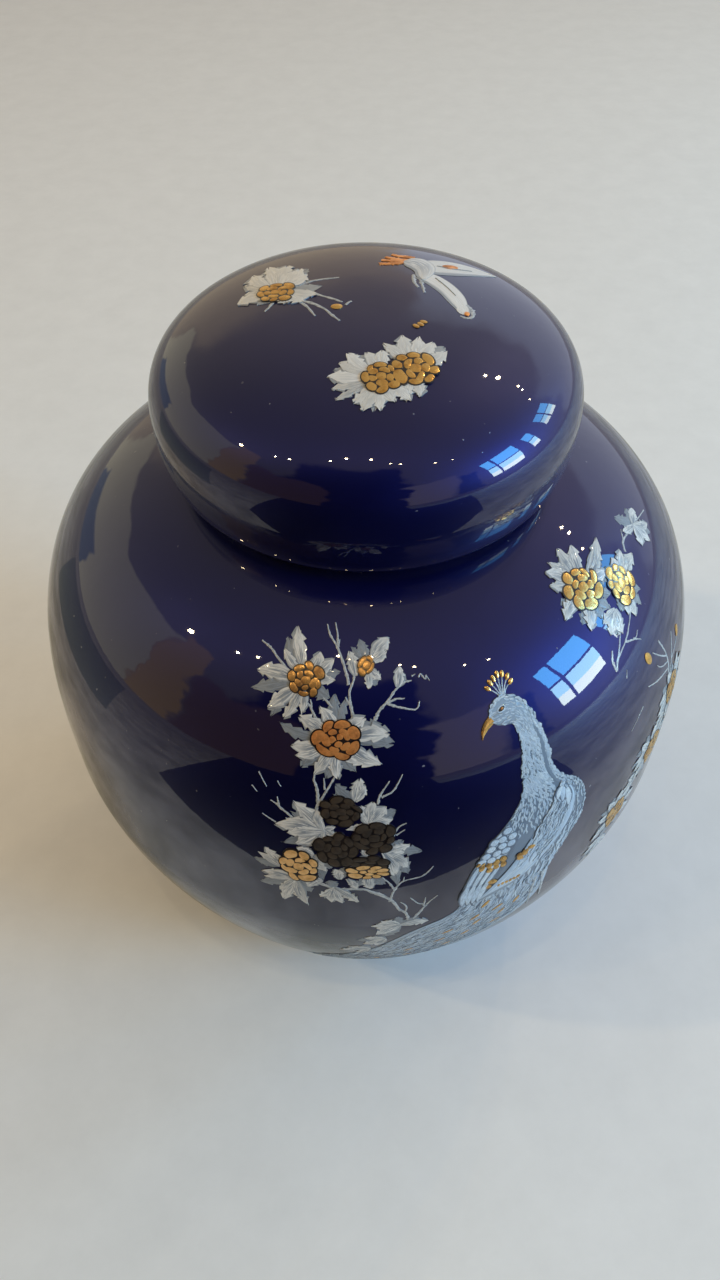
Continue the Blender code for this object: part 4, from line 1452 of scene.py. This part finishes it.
# Soft cards round the jar: (azimuth, elevation, half width, half height, slope, softness, colour), degrees.
# The slope is how far a card's edges rise for each degree to the right.
CARDS = [
    (-10.0, 18.0, 34.0, 40.0, 0.0, 6.0, (0.014, 0.010, 0.015)),
    (180.0, 8.0, 34.0, 20.0, 0.0, 10.0, (0.62, 0.50, 0.34)),
    (146.0, 4.0, 30.0, 26.0, 0.0, 5.0, (0.74, 0.78, 0.88)),
    (-113.0, 4.0, 34.0, 26.0, 0.30, 1.5, (0.80, 0.73, 0.51)),
    (-128.0, -6.0, 13.0, 13.0, 0.30, 2.0, (0.16, 0.22, 0.30)),
    (-72.0, 14.0, 7.0, 30.0, 0.0, 2.5, (0.72, 0.46, 0.12)),
    (-42.0, 4.0, 22.0, 28.0, 0.0, 4.0, (0.22, 0.12, 0.05)),
    (32.0, 12.0, 13.0, 18.0, 0.0, 3.0, (0.74, 0.64, 0.58)),
    (53.0, 0.0, 6.0, 26.0, 0.0, 2.0, (0.05, 0.06, 0.12)),
]


def world():
    """A grey ceiling, paler on the right, with soft-edged cards mixed over it.

    A card's strength is the product of two soft steps, in azimuth and in elevation, which a slow noise
    makes uneven. The camera itself sees only a plain pale backdrop.
    """
    sky = bpy.data.worlds.new("studio")
    sky.use_nodes = True
    tree = sky.node_tree
    toward = node(tree, "SeparateXYZ", Vector=tree_direction(tree))
    azimuth = maths(tree, "ARCTAN2", toward.outputs["X"], maths(tree, "MULTIPLY", toward.outputs["Y"], -1.0))
    elevation = maths(tree, "ARCSINE", toward.outputs["Z"])
    sway = maths(tree, "SUBTRACT", noise(tree, tree_direction(tree), 3.5, 3.0), 0.5)
    azimuth = maths(tree, "ADD", azimuth, maths(tree, "MULTIPLY", sway, 0.45))
    elevation = maths(tree, "ADD", elevation, maths(tree, "MULTIPLY", sway, 0.30))
    lean = maths(tree, "ADD", maths(tree, "MULTIPLY", toward.outputs["X"], 0.5), 0.5)
    ceiling = ((0.15, (0.27, 0.235, 0.19)), (0.50, (0.36, 0.31, 0.25)), (0.85, (0.43, 0.40, 0.37)))
    colour = ramp(tree, lean, *ceiling)
    for middle, height, half_width, half_height, slope, softness, tint in CARDS:
        side = maths(tree, "SUBTRACT", azimuth, math.radians(middle))
        side = maths(tree, "WRAP", side, math.pi)
        side.node.inputs[2].default_value = -math.pi
        rise = maths(tree, "SUBTRACT", elevation, math.radians(height))
        rise = maths(tree, "SUBTRACT", rise, maths(tree, "MULTIPLY", side, slope))
        across = soft_step(tree, side, half_width, softness)
        strength = maths(tree, "MULTIPLY", across, soft_step(tree, rise, half_height, softness))
        colour = mix(tree, strength, colour, tint)
    seen = node(tree, "LightPath").outputs["Is Camera Ray"]
    tree.links.new(mix(tree, seen, colour, BACKDROP), tree.nodes["Background"].inputs["Color"])
    bpy.context.scene.world = sky


def tree_direction(tree):
    return node(tree, "TexCoord").outputs["Generated"]


def soft_step(tree, offset, half_width, softness):
    """One inside the half width, falling smoothly to nought across its edge; widths in degrees."""
    size = maths(tree, "ABSOLUTE", offset)
    fade = node(tree, "MapRange", {"interpolation_type": "SMOOTHSTEP"}, Value=size)
    fade.inputs["From Min"].default_value = math.radians(half_width - softness / 2)
    fade.inputs["From Max"].default_value = math.radians(half_width + softness / 2)
    fade.inputs["To Min"].default_value = 1.0
    fade.inputs["To Max"].default_value = 0.0
    return fade.outputs["Result"]


SKY_BLUE = (0.09, 0.44, 0.95)
PALE_BLUE = (0.40, 0.78, 1.0)
GARDEN = (0.85, 1.0, 0.92)

floor()
gloss_cards()
camera()
world()
PANES = [(0.0, 0.24, GARDEN), (0.24, 0.52, PALE_BLUE), (0.57, 1.0, SKY_BLUE)]
window("window", 71.5, 20.0, (0.50, 0.66), [(0.0, 0.26), (0.32, 1.0)], PANES, 17.0)
window("side_window", 91.0, 20.0, (0.12, 0.50), [(0.0, 1.0)], PANES, 14.0)
window("far_window", 108.0, 24.0, (0.28, 0.36), [(0.0, 0.42), (0.50, 1.0)], PANES, 9.0)
bulbs("near_bulb", (-80.0, 45.0), (-20.0, 72.0), (1.3, 0.45, 0.25, 0.2, 0.5))
bulbs("front_bulb", (5.0, 72.0), (58.0, 52.0), (0.5, 0.1, 0.2, 0.1, 0.1))
bulbs("back_bulb", (118.0, 38.0), (146.0, 48.0), (0.2, 0.25, 0.25, 0.6, 0.4))
bpy.context.scene.view_settings.view_transform = "Standard"
